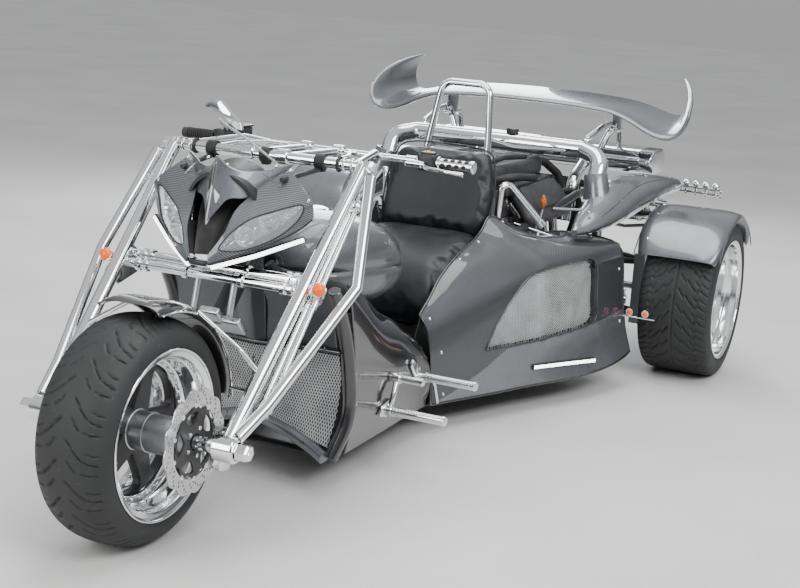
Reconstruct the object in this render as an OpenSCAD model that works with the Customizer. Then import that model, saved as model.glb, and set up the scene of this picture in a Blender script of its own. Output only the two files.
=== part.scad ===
// Motorized three-wheeler with a raked girder fork and a mid-mounted engine.
// +X forward, +Y to the left, +Z up, ground at z = 0. All lengths in mm.
// Every position below is measured from the rear axle line; shift_x moves the
// whole machine so that its box is centred on X = 0.

/* [Wheels] */
// Distance from the rear axle to the front axle
wheelbase = 2838; // [2820:1:2860]
// Outer radius of the front tyre
front_tyre_r = 323; // [319:1:325]
// Section width of the front tyre
front_tyre_w = 236; // [228:1:240]
// Outer radius of the rear tyres
rear_tyre_r = 328; // [322:1:332]
// Section width of a rear tyre
rear_tyre_w = 305; // [295:1:310]
// Distance from the middle plane to the outer face of a rear tyre
rear_outer_y = 1000; // [992:1:1003]

/* [Fork] */
// Lean of the steering axis back from the vertical, in degrees
rake = 43.9; // [43:0.1:45]
// Distance from the steering axis forward to the fork legs
fork_offset = 154; // [150:1:158]
// Height of the top crossbar
crossbar_z = 1022; // [1015:1:1030]
// Radius of a fork leg
leg_r = 21; // [18:1:22]
// Half length of the front axle bar
axle_half = 375; // [370:1:380]
// Half length of the handlebar
bar_half = 530; // [515:1:540]

/* [Body] */
// Height of the belly pan's underside
belly_z = 92; // [90:1:96]
// Thickness of the laminated body panels
skin = 6; // [5:0.5:7]
// Inner radius of the rear fenders
fender_r = 352; // [348:1:356]

/* [Rear] */
// Height of the wing's middle
wing_z = 1062; // [1050:1:1070]
// Half length of the silencer
muffler_half = 550; // [530:1:560]
// Distance of the rearmost face behind the rear axle
tail_x = 560; // [550:1:570]

/* [Hidden] */
$fn = 48;
shift_x = -(wheelbase + front_tyre_r - tail_x) / 2;
fa = [wheelbase, 0, front_tyre_r];            // front axle
ra_z = rear_tyre_r;                           // rear axle height
ux = -sin(rake); uz = cos(rake);              // up the steering axis
fx = cos(rake);  fz = sin(rake);              // forward of the steering axis
// a point of the fork: up along the axis, side, forward of the axis
function fk(s, y, o) = [fa.x - fork_offset*fx + s*ux + o*fx, y, fa.z - fork_offset*fz + s*uz + o*fz];

// ---------- helpers ----------
function unit(v) = v / norm(v);
function mid(a, b, t) = a + (b - a) * t;
module placed() translate([shift_x, 0, 0]) children();
module both() { children(); mirror([0, 1, 0]) children(); }

// round bar from a to b
module bar(a, b, r, fn = 32) {
  v = b - a; l = norm(v);
  translate(a) rotate([0, acos(v.z / l), atan2(v.y, v.x)]) cylinder(h = l, r = r, $fn = fn);
}
// polyline of round bars with mitred corners
module bars(p, r, fn = 16) {
  if (fn > 12) sweep(rounded(p, 1.2 * r, 3), r, fn);
  else for (i = [0 : len(p) - 2]) bar(p[i], p[i + 1], r, fn);
}
// smoothly bent tube: straight runs and round elbows of radius br
function turn(p, i) = acos(max(-1, min(1, unit(p[i] - p[i-1]) * unit(p[i+1] - p[i]))));
function trim(p, i, br) = (i == 0 || i == len(p) - 1) ? 0 : br * tan(turn(p, i) / 2);
// points along a polyline whose corners are rounded by arcs of radius br
function arc_pts(p, i, br, k) = let(d1 = unit(p[i] - p[i-1]), d2 = unit(p[i+1] - p[i]), a = turn(p, i),
    nn = unit(d2 - d1 * (d1 * d2)), c = p[i] - d1 * trim(p, i, br) + nn * br)
  [for (j = [0 : k]) c - nn * br * cos(a * j / k) + d1 * br * sin(a * j / k)];
function rounded(p, br, k = 5) = concat([p[0]], [for (i = [1 : len(p) - 2]) each arc_pts(p, i, br, k)], [p[len(p) - 1]]);
// round tube swept along points, one closed solid
module sweep(q, r, n = 20) {
  m = len(q);
  t = [for (i = [0 : m - 1]) unit(unit(q[min(i+1, m-1)] - q[min(i, m-2)]) + unit(q[max(i, 1)] - q[max(i-1, 0)]))];
  seed = abs(t[0].x) < 0.8 ? [1, 0, 0] : [0, 1, 0];
  f = [for (i = 0, v = unit(seed - t[0] * (seed * t[0])); i < m; i = i + 1,
        v = i < m ? unit(v - t[i] * (v * t[i])) : v) v];
  loft([for (i = [0 : m - 1]) let(w = cross(t[i], f[i]))
    [for (j = [0 : n - 1]) q[i] + (f[i] * cos(360 * j / n) + w * sin(360 * j / n)) * r]]);
}
module bent(p, r, br, fn = 20) sweep(rounded(p, br), r, fn);
// ring about the Y axis with profile points [y, radius]
module ring_y(p, fn = 96) rotate([90, 0, 0]) rotate_extrude($fn = fn) polygon([for (q = p) [q[1], -q[0]]]);
module rod_y(y0, y1, r, fn = 48) translate([0, y0, 0]) rotate([-90, 0, 0]) cylinder(h = y1 - y0, r = r, $fn = fn);
// closed loft through sections that each have the same number of points;
// the faces are turned by the sign of the enclosed volume so that they point outwards
function total(v) = v * [for (q = v) 1];
module loft(s) {
  n = len(s[0]); m = len(s);
  pts = [for (a = s) for (p = a) p];
  side = concat(
    [for (k = [0 : m - 2]) for (i = [0 : n - 1]) [k*n + i, k*n + (i+1)%n, (k+1)*n + (i+1)%n]],
    [for (k = [0 : m - 2]) for (i = [0 : n - 1]) [k*n + i, (k+1)*n + (i+1)%n, (k+1)*n + i]]);
  fan = concat([for (i = [1 : n - 2]) [0, i + 1, i]], [for (i = [1 : n - 2]) [(m-1)*n, (m-1)*n + i, (m-1)*n + i + 1]]);
  out = total([for (t = concat(side, fan)) pts[t[0]] * cross(pts[t[1]], pts[t[2]])]) > 0;
  all = concat([[for (i = [n - 1 : -1 : 0]) i]], side, [[for (i = [0 : n - 1]) (m-1)*n + i]]);
  polyhedron(points = pts, faces = out ? [for (g = all) [for (i = [len(g) - 1 : -1 : 0]) g[i]]] : all);
}
// thin section: an open line of [y, z] points at x, thickened to the inside
function nrm2(a, b) = let(d = b - a, l = norm(d)) [d[1] / l, -d[0] / l];
function inner(q, i, t) = let(n = len(q),
    a = nrm2(q[max(0, i-1)], q[max(1, i)]), b = nrm2(q[min(n-2, i)], q[min(n-1, i+1)]),
    m = (a + b) / max(0.4, norm(a + b))) q[i] - m * t;
// the same with one constant shift for the inside, for a shell that turns from level to upright
function sheet_at(x, q, t) = concat([for (p = q) [x, p[0], p[1]]],
    [for (i = [len(q)-1 : -1 : 0]) [x, q[i][0] - 0.8 * t, q[i][1] - 0.8 * t]]);
function thin(x, q, t) = concat([for (i = [0 : len(q)-1]) [x, q[i][0], q[i][1]]],
    [for (i = [len(q)-1 : -1 : 0]) let(w = inner(q, i, t)) [x, w[0], w[1]]]);

// ---------- chassis ----------
module steering_head() color("dimgray") placed() difference() {
  bar(fk(472, 0, 0), fk(756, 0, 0), 30);
  bar(fk(460, 0, 0), fk(770, 0, 0), 18.05);
}
module main_frame() color("dimgray") placed() {
  bar([2085, 0, 718], [1470, 0, 468], 24, 12);
  both() bars([[2180, 34, 690], [2080, 150, 470], [2060, 170, 140]], 17, 12);
  both() bars([[2060, 170, 140], [1100, 200, 140], [760, 300, 150], [-300, 300, 150]], 20, 12);
  both() bars([[716, 300, 160], [700, 300, 620], [100, 330, 700], [-250, 330, 700], [-296, 300, 160]], 17, 12);
  for (x = [2060, 1500, 1100]) bar([x, -190, 140], [x, 190, 140], 17, 12);
  for (x = [716, -296]) bar([x, -300, 160], [x, 300, 160], 17, 12);
  bar([-250, -330, 700], [-250, 330, 700], 17, 12);
  bar([1470, 0, 468], [1100, 0, 150], 20, 12);
}
// tow eye at the tail
module tow_eye() {
  difference() {
    union() {
      translate([-380, 0, 150]) rotate([90, 0, 0]) cylinder(h = 16, r = 28, center = true, $fn = 48);
      translate([-372, -8, 135]) cube([60, 16, 30]);
    }
    translate([-380, 0, 150]) rotate([90, 0, 0]) cylinder(h = 40, r = 13, center = true, $fn = 48);
  }
}
module belly_pan() color("black") placed() translate([0, 0, belly_z]) linear_extrude(skin)
  polygon([[2150, -260], [1500, -270], [1150, -380], [900, -500], [420, -640], [420, 640], [900, 500],
           [1150, 380], [1500, 270], [2150, 260]]);

rail_p = [[2250, 300, 655], [2176, 302, 520], [2152, 316, 380], [2160, 325, 240], [2222, 305, 118]];
module front_shroud() color("black") placed() {
  both() bent(rail_p, 24, 90);
  // panel above the grilles
  difference() {
    hull() {
      translate([2215, -270, 640]) cube([10, 540, 8]);
      translate([2155, -272, 450]) cube([10, 544, 8]);
    }
    translate([2225, 0, 640]) cube([120, 90, 140], center = true);
  }
  // lower lip, lowest at its outer ends
  sweep([[2216, 276, 118], [2196, 150, 160], [2188, 0, 196], [2196, -150, 160], [2216, -276, 118]], 22, 16);
  translate([2140, -20, 222]) cube([20, 40, 226]);
}
module front_grilles() color("silver") placed() both()
  translate([2165, 0, 0]) rotate([0, 0, 0]) rotate([90, 0, 90]) linear_extrude(3)
    polygon([[24, 232], [280, 140], [292, 250], [276, 446], [24, 446]]);
module radiator() color("dimgray") placed() translate([2098, -240, 200]) cube([40, 480, 240]);
panel_tab = [ // x, then [y, z] from the top edge down to the hem
 [2120, [[294, 640], [306, 520], [320, 384], [319, 238], [301, 120]]],
 [1910, [[256, 552], [301, 466], [321, 350], [315, 228], [293, 113]]],
 [1660, [[240, 428], [290, 363], [309, 287], [306, 201], [288, 107]]],
 [1484, [[264, 306], [290, 264], [302, 217], [301, 163], [287, 103]]]];
module side_panels() color("black") placed() both() loft([for (t = panel_tab) thin(t[0], t[1], skin)]);
tank_tab = [ // x, half width, bottom z, top z
 [2090,  95, 560, 740], [2030, 165, 520, 790], [1920, 222, 500, 812],
 [1780, 242, 480, 800], [1620, 225, 480, 760], [1500, 160, 500, 700]];
function egg(x, w, z0, z1) = let(c = (z0 + z1) / 2, h = (z1 - z0) / 2)
  [for (i = [0 : 23]) let(a = i * 15, s = sin(a), k = cos(a)) [x, w * sign(k) * pow(abs(k), 0.75), c + h * sign(s) * pow(abs(s), 0.8)]];
module fuel_tank() color("#33363b") placed() difference() {
  loft([for (t = tank_tab) egg(t[0], t[1], t[2], t[3])]);
  bar([2185, 0, 772.3], [1370, 0, 427.7], 27);
}
module seat_cushion() color("#1c1e22") placed()
  loft([for (t = [[858, 170, 470, 600], [900, 205, 470, 612], [1000, 232, 440, 600], [1110, 236, 400, 560],
                  [1200, 222, 350, 500], [1262, 180, 340, 420]]) egg(t[0], t[1], t[2], t[3])]);
seat_back_tab = [ // z, centre x, half width, half depth
 [600, 850, 205, 46], [680, 822, 222, 52], [780, 780, 222, 44], [870, 752, 205, 34], [928, 738, 170, 22]];
module seat_back() color("#1c1e22") placed()
  loft([for (t = seat_back_tab) [for (i = [0 : 23]) let(a = i * 15, s = sin(a), k = cos(a))
    [t[1] + t[3] * sign(k) * pow(abs(k), 0.8), t[2] * sign(s) * pow(abs(s), 0.6), t[0]]]]);
module seat_base() color("black") placed() {
  hull() {
    translate([800, -190, 170]) cube([60, 380, 280]);
    translate([1200, -120, 170]) cube([60, 240, 150]);
  }
  translate([1261, -70, 170]) cube([180, 140, 90]);
}

shell_tab = [ // x, then [y, z] from the inner top edge down to the hem
 [1465, [[196, 520], [246, 470], [280, 380], [300, 260], [304, 110]]],
 [1300, [[226, 540], [282, 490], [330, 396], [352, 268], [362, 104]]],
 [1100, [[252, 570], [326, 524], [396, 426], [432, 280], [452, 100]]],
 [ 900, [[286, 594], [394, 560], [478, 464], [524, 290], [548, 100]]],
 [ 680, [[330, 604], [470, 590], [566, 520], [618, 310], [650, 104]]],
 [ 470, [[370, 596], [540, 592], [626, 552], [676, 330], [706, 124]]],
 [ 400, [[382, 590], [556, 588], [636, 548], [684, 330], [712, 140]]]];
module body_shells() color("#4a4d52") placed() both() {
  loft([for (t = shell_tab) sheet_at(t[0], t[1], skin)]);
  // closing panel at the rear edge
  translate([395, 0, 0]) rotate([90, 0, 90]) linear_extrude(4)
    polygon([[500, 586], [554, 582], [630, 542], [676, 330], [704, 142], [560, 130], [520, 330]]);
}
module side_grilles() color("silver") placed() both()
  loft([for (t = [[540, 596, 648, 300, 506], [700, 560, 606, 312, 486], [860, 510, 548, 320, 450], [1020, 452, 478, 330, 380]])
    [[t[0], t[2] + 12, t[3]], [t[0], t[2] + 9, t[3]], [t[0], t[1] + 9, t[4]], [t[0], t[1] + 12, t[4]]]]);
pod_tab = [ // x, y centre, z centre, half width, half height
 [600, 500, 628, 14, 12], [480, 520, 655, 60, 40], [330, 535, 690, 92, 74], [180, 552, 720, 104, 92],
 [20, 575, 738, 100, 76], [-140, 600, 742, 84, 58], [-300, 622, 735, 58, 40], [-390, 632, 722, 34, 24]];
module side_pods() color("#6b6f75") placed() both()
  loft([for (t = pod_tab) [for (i = [0 : 17]) let(a = i * 20) [t[0], t[1] + t[3] * cos(a), t[2] + t[4] * sin(a)]]]);
module engine_block() color("dimgray") placed() translate([90, -200, 200]) cube([560, 400, 560]);
module engine_covers() color("#2b2d30") placed() {
  hull() {
    translate([110, -190, 764]) cube([540, 380, 6]);
    translate([130, -172, 852]) cube([500, 344, 6]);
  }
  both() hull() {
    translate([120, 203, 600]) cube([520, 8, 150]);
    translate([150, 318, 590]) cube([460, 8, 30]);
  }
}
module gearbox() color("silver") placed() {
  translate([-290, -130, 210]) cube([330, 260, 240]);
  translate([42, -110, 230]) cube([46, 220, 220]);
  both() translate([0, 131, ra_z]) rotate([-90, 0, 0]) cylinder(h = 40, r = 55);
}
module intake_loop() color("silver") placed() {
  bent([[300, 470, 770], [245, 470, 880], [200, 380, 905], [200, -380, 905], [245, -470, 880], [300, -470, 770]], 38, 70);
  translate([200, 60, 936]) cylinder(h = 26, r = 26);
}
module seat_hoop() color("silver") placed() {
  bent([[716, -150, 640], [640, -125, 960], [600, -100, 1165], [600, 100, 1165], [640, 125, 960], [716, 150, 640]], 14, 50);
  both() bent([[776, 238, 640], [770, 246, 800], [742, 268, 806], [690, 400, 655]], 13, 30);
}
module muffler() color("silver") placed() {
  translate([-360, muffler_half, 822]) rotate([90, 0, 0]) linear_extrude(2 * muffler_half) {
    for (d = [-60, 60]) translate([d, 0]) circle(r = 54);
    square([120, 108], center = true);
  }
  both() bent([[-70, 250, 560], [-90, 250, 730], [-235, 250, 800]], 28, 90);
  both() bar([-460, 430, 800], [-520, 430, 776], 30);
}
module wing_struts() color("silver") placed() both() {
  bars([[-150, 345, 880], [-160, 376, 944]], 14);
  bars([[150, 372, 946], [-20, 385, 985], [-126, 388, 990]], 12);
  hull() {
    translate([-240, 372, 962]) cube([90, 36, 10]);
    translate([-270, 380, 1040]) cube([120, 20, 6]);
  }
}
wing_tab = [ // y, leading x, leading z, trailing x, trailing z, thickness
 [-738, -60, 1030, -375, 1198, 12], [-705, -30, 980, -370, 1120, 26], [-620, -20, 962, -365, 1035, 34],
 [-520, -22, 1010, -360, 1060, 36], [-430, -26, 1044, -360, 1080, 34], [0, -34, 1062, -365, 1096, 34],
 [430, -26, 1044, -360, 1080, 34], [520, -22, 1010, -360, 1060, 36], [620, -20, 962, -365, 1035, 34],
 [705, -30, 980, -370, 1120, 26], [738, -60, 1030, -375, 1198, 12]];
function foil(t) = let(d = [t[3] - t[1], t[4] - t[2]], n = [-d[1], d[0]] / norm(d), h = t[5] / 2)
  [for (q = [[0, 0], [0.06, -0.8], [0.25, -1], [0.6, -0.7], [1, -0.12], [1, 0.12], [0.6, 0.7], [0.25, 1], [0.06, 0.8]])
    let(p = [t[1], t[2]] + d * q[0] + n * q[1] * h) [p[0], t[0], p[1] + wing_z - 1062]];
module rear_wing() color("#6b6f75") placed() loft([for (t = wing_tab) foil(t)]);
module rear_fenders() color("#6b6f75") placed() both() translate([0, 0, ra_z]) {
  rotate([90, 0, 0]) rotate([0, 0, 34]) rotate_extrude(angle = 112, $fn = 96)
    translate([fender_r, 0]) polygon([[0, -rear_outer_y - 12], [6, -rear_outer_y - 12], [6, -658], [0, -658]]);
  // stay to the chassis
  bars([[0, 700, fender_r + 18], [0, 560, fender_r + 30], [0, 400, fender_r + 20]], 10);
}
module rear_axle() color("dimgray") placed() both() translate([0, 0, ra_z]) {
  rod_y(172, 600, 15);
  translate([-60, 600, -150]) cube([120, 46, 300]);
  rod_y(646, 820, 24.95);
}
module suspension_arms() color("dimgray") placed() both() {
  for (z = [210, 440]) {
    bar([170, 322, z], [30, 599, z], 13);
    bar([-200, 322, z], [-30, 599, z], 13);
  }
}
module rear_shocks() color("silver") placed() both() {
  bar([-90, 530, 240], [-170, 372, 470], 26);
  bar([-170, 372, 470], [-215, 345, 660], 12);
}
peg_tab = [ // x, z, inner y, outer y, radius
 [1894, 200, 330, 544, 15], [1850, 300, 320, 440, 12], [1621, 250, 322, 535, 15]];
module foot_pegs() color("silver") placed() both() {
  for (t = peg_tab) translate([t[0], 0, t[1]]) rod_y(t[2], t[3], t[4], 32);
  bars([[1894, 342, 200], [1880, 350, 250], [1850, 345, 300]], 9);
  hull() {
    translate([1600, 322, 236]) cube([50, 14, 28]);
    translate([1690, 310, 300]) cube([40, 8, 20]);
  }
}
module side_lights() color("orange") placed() both() {
  translate([405, 640, 286]) cube([14, 160, 10]);
  for (y = [700, 765]) translate([412, y, 296]) cylinder(h = 22, r = 13, $fn = 32);
  // light strip in the hem
  hull() {
    translate([842, 520, 132]) cube([8, 12, 22]);
    translate([624, 640, 140]) cube([8, 12, 22]);
  }
}
module tail_lights() color("red") placed() {
  bar([-520, -520, 560], [-520, 520, 560], 16);
  both() translate([-538, 440, 560]) rotate([0, -90, 0]) cylinder(h = 20, r = 44);
  both() bar([-520, 300, 560], [-258, 318, 560], 14);
}
module plate_holder() color("black") placed() difference() {
  translate([-tail_x, -140, 470]) cube([8, 280, 210]);
  for (y = [-90, 90]) translate([-tail_x - 5, y, 580]) rotate([0, 90, 0]) cylinder(h = 30, r = 3.5, $fn = 32);
}
module tail_rails() color("silver") placed() both() {
  for (z = [700, 722]) bar([-430, 640, z], [-395, 830, z], 7);
  for (k = [0 : 3]) translate([-424 + k * 9, 672 + k * 46, 738]) sphere(r = 17, $fn = 32);
}

// ---------- fork ----------
s_bar = (crossbar_z - fa.z + 0) / uz;     // height of the crossbar along the legs
leg_top = fk(s_bar, 0, fork_offset);
module steering_stem() color("silver") placed() {
  bar(fk(455, 0, 0), fk(772, 0, 0), 18);
  // lower yoke
  hull() { bar(fk(440, -60, 0), fk(462, -60, 0), 30); bar(fk(440, 60, 0), fk(462, 60, 0), 30); }
  hull() { bar(fk(440, 0, 10), fk(462, 0, 10), 34); bar(fk(440, 0, 60), fk(462, 0, 60), 30); }
  bar(fk(572, -292, 114), fk(572, 292, 114), 16);
  both() bar(fk(451, 62, 60), fk(556, 62, 112), 10);
  bar(fk(536, -292, 122), fk(536, 292, 122), 14);
  // upper yoke
  hull() { bar(fk(772, 0, 0), fk(790, 0, 0), 34); bar(fk(772, 0, 90), fk(790, 0, 90), 26); }
}
outer_p = [[fa.x - 14, 326, fa.z + 30], [2716, 352, 420], [2387, 440, 706], [2196, 372, 1000]];
module fork_tubes() color("silver") placed() both() {
  bar([fa.x, 296, fa.z], [leg_top.x, 330, leg_top.z], leg_r);
  bars(outer_p, 17);
  difference() {
    translate([fa.x, 0, fa.z]) rod_y(272, 332, 36);
    translate([fa.x, 0, fa.z]) rod_y(260, 340, 20);
  }
}
module fork_rods() color("silver") placed() both() {
  bar(fk(130, 322, 110), fk(860, 338, 128), 9);
  bar(fk(130, 350, 118), fk(860, 356, 134), 7);
  hull() { bar(fk(470, 318, 112), fk(470, 326, 112), 10); bar(fk(560, 318, 50), fk(560, 326, 50), 10); bar(fk(590, 318, 118), fk(590, 326, 118), 10); }
}
module handlebars() color("silver") placed() {
  translate([leg_top.x, 0, leg_top.z]) rod_y(-332, 332, 17);
  both() translate([leg_top.x, 332, leg_top.z]) rotate([-90, 0, 0]) cylinder(h = 36, r = 20, $fn = 6);
  translate([1795, 0, 1006]) rod_y(-bar_half, bar_half, 11);
  both() bars([[leg_top.x, 300, leg_top.z], [1900, 240, 1030], [1795, 200, 1006]], 11);
  for (y = [-60, 60]) bar([leg_top.x, y, leg_top.z], [1795, y, 1006], 12);
  for (y = [-190, 0, 190]) translate([leg_top.x, y, leg_top.z]) rod_y(y == 0 ? -16 : -16, 16, 24);
}
module hand_grips() color("silver") placed() both() difference() {
  translate([1795, 0, 1006]) rod_y(412, bar_half + 8, 18);
  translate([1795, 0, 1006]) rod_y(400, bar_half + 1, 11);
}
module bar_controls() color("#222222") placed() {
  difference() {
    union() {
      translate([1773, 348, 978]) cube([46, 60, 56]);
      translate([1773, -408, 978]) cube([46, 60, 56]);
      translate([1780, -347, 1020]) cube([80, 72, 34]);
    }
    translate([1795, 0, 1006]) rod_y(-bar_half - 20, bar_half + 20, 11.2);
  }
  both() bars([[1826, 378, 1000], [1862, 400, 996], [1868, 530, 990]], 6);
  // angular lever and stalk on the right
  bars([[1840, -310, 1055], [1850, -330, 1100], [1900, -380, 1150], [1915, -440, 1165]], 8);
}
module nose_mask() color("#4a4d52") placed() {
  both() loft([
    thin2([[2551, 2, 735], [2520, 60, 780], [2440, 170, 850], [2374, 256, 905], [2330, 275, 960]]),
    thin2([[2540, 2, 830], [2510, 60, 860], [2440, 160, 930], [2380, 235, 960], [2335, 262, 985]]),
    thin2([[2500, 2, 930], [2480, 60, 950], [2430, 140, 990], [2385, 205, 1000], [2345, 236, 1005]]),
    thin2([[2450, 2, 1045], [2440, 50, 1035], [2410, 110, 1030], [2380, 165, 1026], [2350, 205, 1022]])]);
}
function thin2(q) = concat(q, [for (i = [len(q)-1 : -1 : 0]) [q[i][0] - 6, q[i][1] == 2 ? 2 : q[i][1], q[i][2] - 2]]);
module headlights() color("white") placed() both() {
  bar([2486, 80, 800], [2360, 245, 905], 22);
  bars([[2520, 42, 729], [2368, 256, 819]], 8);
}
module lamp_bucket() color("black") placed() {
  bar([2278, 0, 905], [2416, 0, 868], 128, 48);
  both() bar([2170, 190, 1000], [2370, 170, 985], 8);
}
module turn_signals() color("orange") placed() both() {
  bar(fk(535, 328, 112), fk(535, 362, 112), 7);
  bar(fk(535, 362, 112), fk(535, 362, 150), 12);
  translate(fk(535, 362, 164)) sphere(r = 22, $fn = 32);
}
module front_axle() color("silver") placed() translate([fa.x, 0, fa.z]) {
  rod_y(-axle_half + 40, axle_half - 40, 19.95);
  both() translate([0, axle_half - 42, 0]) rotate([-90, 0, 0]) cylinder(h = 42, r = 24, $fn = 6);
}
module front_fender() color("#222222") placed() {
  translate([fa.x, 0, fa.z]) rotate([90, 0, 0]) rotate([0, 0, 84]) rotate_extrude(angle = 92, $fn = 96)
    translate([355, 0]) polygon([[0, -112], [5, -112], [5, 112], [0, 112]]);
  both() bars([[2700, 112, 660], [2700, 250, 560], [2680, 300, 500]], 7);
}
module brake_calipers() color("silver") placed() both() difference() {
  hull() {
    translate([2650, 178, 250]) cube([80, 58, 70]);
    translate([2700, 178, 200]) cube([60, 58, 60]);
  }
  translate([2600, 190, 100]) cube([200, 20, 300]);
}
hose_p = [[1850, -330, 1040], [1950, -300, 1075], [2060, -240, 1098], [2160, -150, 1096], [2220, -40, 1070],
          [2235, 60, 1020], [2225, 110, 980], [2222, 120, 940]];
module brake_hose() color("gray") placed() sweep(rounded(hose_p, 60, 3), 4, 10);

// ---------- wheels ----------
front_tyre_p = [ // y, radius on the left half, crown to bead
 [0, 323], [40, 321], [72, 313], [96, 300], [112, 284], [118, 266], [114, 250], [107, 240], [104, 227], [96, 222]];
module front_tyre() color("#1a1a1a") placed() translate([fa.x, 0, fa.z])
  ring_y(concat([for (q = front_tyre_p) [q[0] * front_tyre_w / 236, q[1] + front_tyre_r - 323]],
                [for (i = [len(front_tyre_p) - 1 : -1 : 1]) [-front_tyre_p[i][0] * front_tyre_w / 236, front_tyre_p[i][1] + front_tyre_r - 323]]));
module front_wheel() color("silver") placed() translate([fa.x, 0, fa.z]) {
  ring_y([[-113, 243], [-108, 243], [-104.5, 226], [-96, 221.5], [96, 221.5], [104.5, 226], [108, 243], [113, 243],
          [113, 236], [106, 214], [60, 206], [20, 198], [-20, 198], [-60, 206], [-106, 214], [-113, 236]]);
  difference() {
    rod_y(-12, 12, 199, 96);
    rod_y(-20, 20, 50);
    for (k = [0 : 4]) rotate([0, k * 72, 0]) rotate([90, 0, 0])
      linear_extrude(60, center = true) polygon([[70, -14], [172, -66], [182, -30], [184, 0], [182, 30], [172, 66], [70, 14]]);
  }
  difference() {
    union() { rod_y(-168, 168, 54); rod_y(-196, 196, 34); both() rod_y(96, 104, 57); }
    rod_y(-210, 210, 20);
  }
}
module brake_discs() color("silver") placed() translate([fa.x, 0, fa.z]) both() difference() {
  rod_y(196.2, 202, 150, 96);
  rod_y(190, 210, 20);
  for (k = [0 : 4]) rotate([0, k * 72 + 36, 0]) translate([82, 0, 0]) rod_y(190, 210, 22);
}
module rear_tyre(s) color("#1a1a1a") placed() translate([0, s * (rear_outer_y - rear_tyre_w / 2), ra_z])
  ring_y([for (m = [1, -1]) each (m == 1
    ? [for (q = rear_tyre_p) [q[0] * rear_tyre_w / 305, q[1] + rear_tyre_r - 328]]
    : [for (i = [len(rear_tyre_p) - 1 : -1 : 0]) [-rear_tyre_p[i][0] * rear_tyre_w / 305, rear_tyre_p[i][1] + rear_tyre_r - 328]])]);
rear_tyre_p = [[118, 328], [134, 324], [145, 312], [151, 292], [150, 272], [144, 256], [139, 250], [137, 236], [128, 232]];
module rear_wheel(s) color("silver") placed() translate([0, s * (rear_outer_y - rear_tyre_w / 2), ra_z]) scale([1, 1, 1]) mirror([0, s < 0 ? 1 : 0, 0]) {
  ring_y([[-146, 250], [-140.5, 250], [-138, 236], [-128, 231.5], [128, 231.5], [138, 236], [140.5, 250], [146, 250],
          [146, 242], [138, 226], [120, 222], [40, 214], [-60, 208], [-138, 226], [-146, 242]]);
  difference() {
    rod_y(-86, -62, 213, 96);
    rod_y(-100, -40, 60);
    for (k = [0 : 4]) rotate([0, k * 72, 0]) rotate([90, 0, 0]) translate([0, 0, 74])
      linear_extrude(60, center = true) polygon([[78, -16], [184, -70], [196, -30], [198, 0], [196, 30], [184, 70], [78, 16]]);
  }
  difference() {
    rod_y(-110, -28, 62);
    rod_y(-200, -26, 25);
  }
}
module rear_left_tyre() rear_tyre(1);
module rear_left_wheel() rear_wheel(1);
module rear_right_tyre() rear_tyre(-1);
module rear_right_wheel() rear_wheel(-1);

union() { main_frame(); color("dimgray") placed() tow_eye(); }
steering_head();
belly_pan();
front_shroud();
front_grilles();
radiator();
side_panels();
fuel_tank();
seat_cushion();
seat_back();
seat_base();
body_shells();
side_grilles();
side_pods();
engine_block();
engine_covers();
gearbox();
intake_loop();
seat_hoop();
muffler();
wing_struts();
rear_wing();
rear_fenders();
rear_axle();
suspension_arms();
rear_shocks();
foot_pegs();
side_lights();
tail_lights();
plate_holder();
tail_rails();
steering_stem();
fork_tubes();
fork_rods();
handlebars();
hand_grips();
bar_controls();
nose_mask();
headlights();
lamp_bucket();
turn_signals();
front_axle();
front_fender();
brake_calipers();
brake_hose();
front_tyre();
front_wheel();
brake_discs();
rear_left_tyre();
rear_left_wheel();
rear_right_tyre();
rear_right_wheel();
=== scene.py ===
import bpy, bmesh, math, random
import numpy as np
from mathutils import Vector, Matrix

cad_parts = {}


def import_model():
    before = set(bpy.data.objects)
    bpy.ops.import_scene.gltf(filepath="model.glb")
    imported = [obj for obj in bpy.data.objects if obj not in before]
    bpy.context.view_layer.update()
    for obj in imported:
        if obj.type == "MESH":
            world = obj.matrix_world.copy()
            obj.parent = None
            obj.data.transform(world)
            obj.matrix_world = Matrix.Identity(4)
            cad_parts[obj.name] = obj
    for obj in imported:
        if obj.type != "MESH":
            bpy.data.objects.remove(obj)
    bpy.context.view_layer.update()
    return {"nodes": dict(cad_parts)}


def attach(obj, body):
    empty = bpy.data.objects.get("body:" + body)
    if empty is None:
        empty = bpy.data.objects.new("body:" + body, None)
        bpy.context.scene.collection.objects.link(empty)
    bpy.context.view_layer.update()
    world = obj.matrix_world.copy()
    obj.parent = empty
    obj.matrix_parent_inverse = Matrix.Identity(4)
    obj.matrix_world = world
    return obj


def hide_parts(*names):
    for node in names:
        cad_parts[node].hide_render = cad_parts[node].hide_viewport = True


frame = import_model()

rng = random.Random(7)
SH = -1300.5                      # all modelling below is in mm from the rear axle line
MM = 0.001


def P(x, y, z):
    return Vector(((x + SH) * MM, y * MM, z * MM))


RAKE = math.radians(43.9)
UP = Vector((-math.sin(RAKE), 0, math.cos(RAKE)))
FW = Vector((math.cos(RAKE), 0, math.sin(RAKE)))
FA = Vector((2838.0, 0, 323.0))


def fkp(s, y, o):
    """A point of the fork in mm: up the steering axis, sideways, forward of the axis."""
    v = FA - FW * 154 + UP * s + FW * o
    return Vector((v.x, y, v.z))


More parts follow.
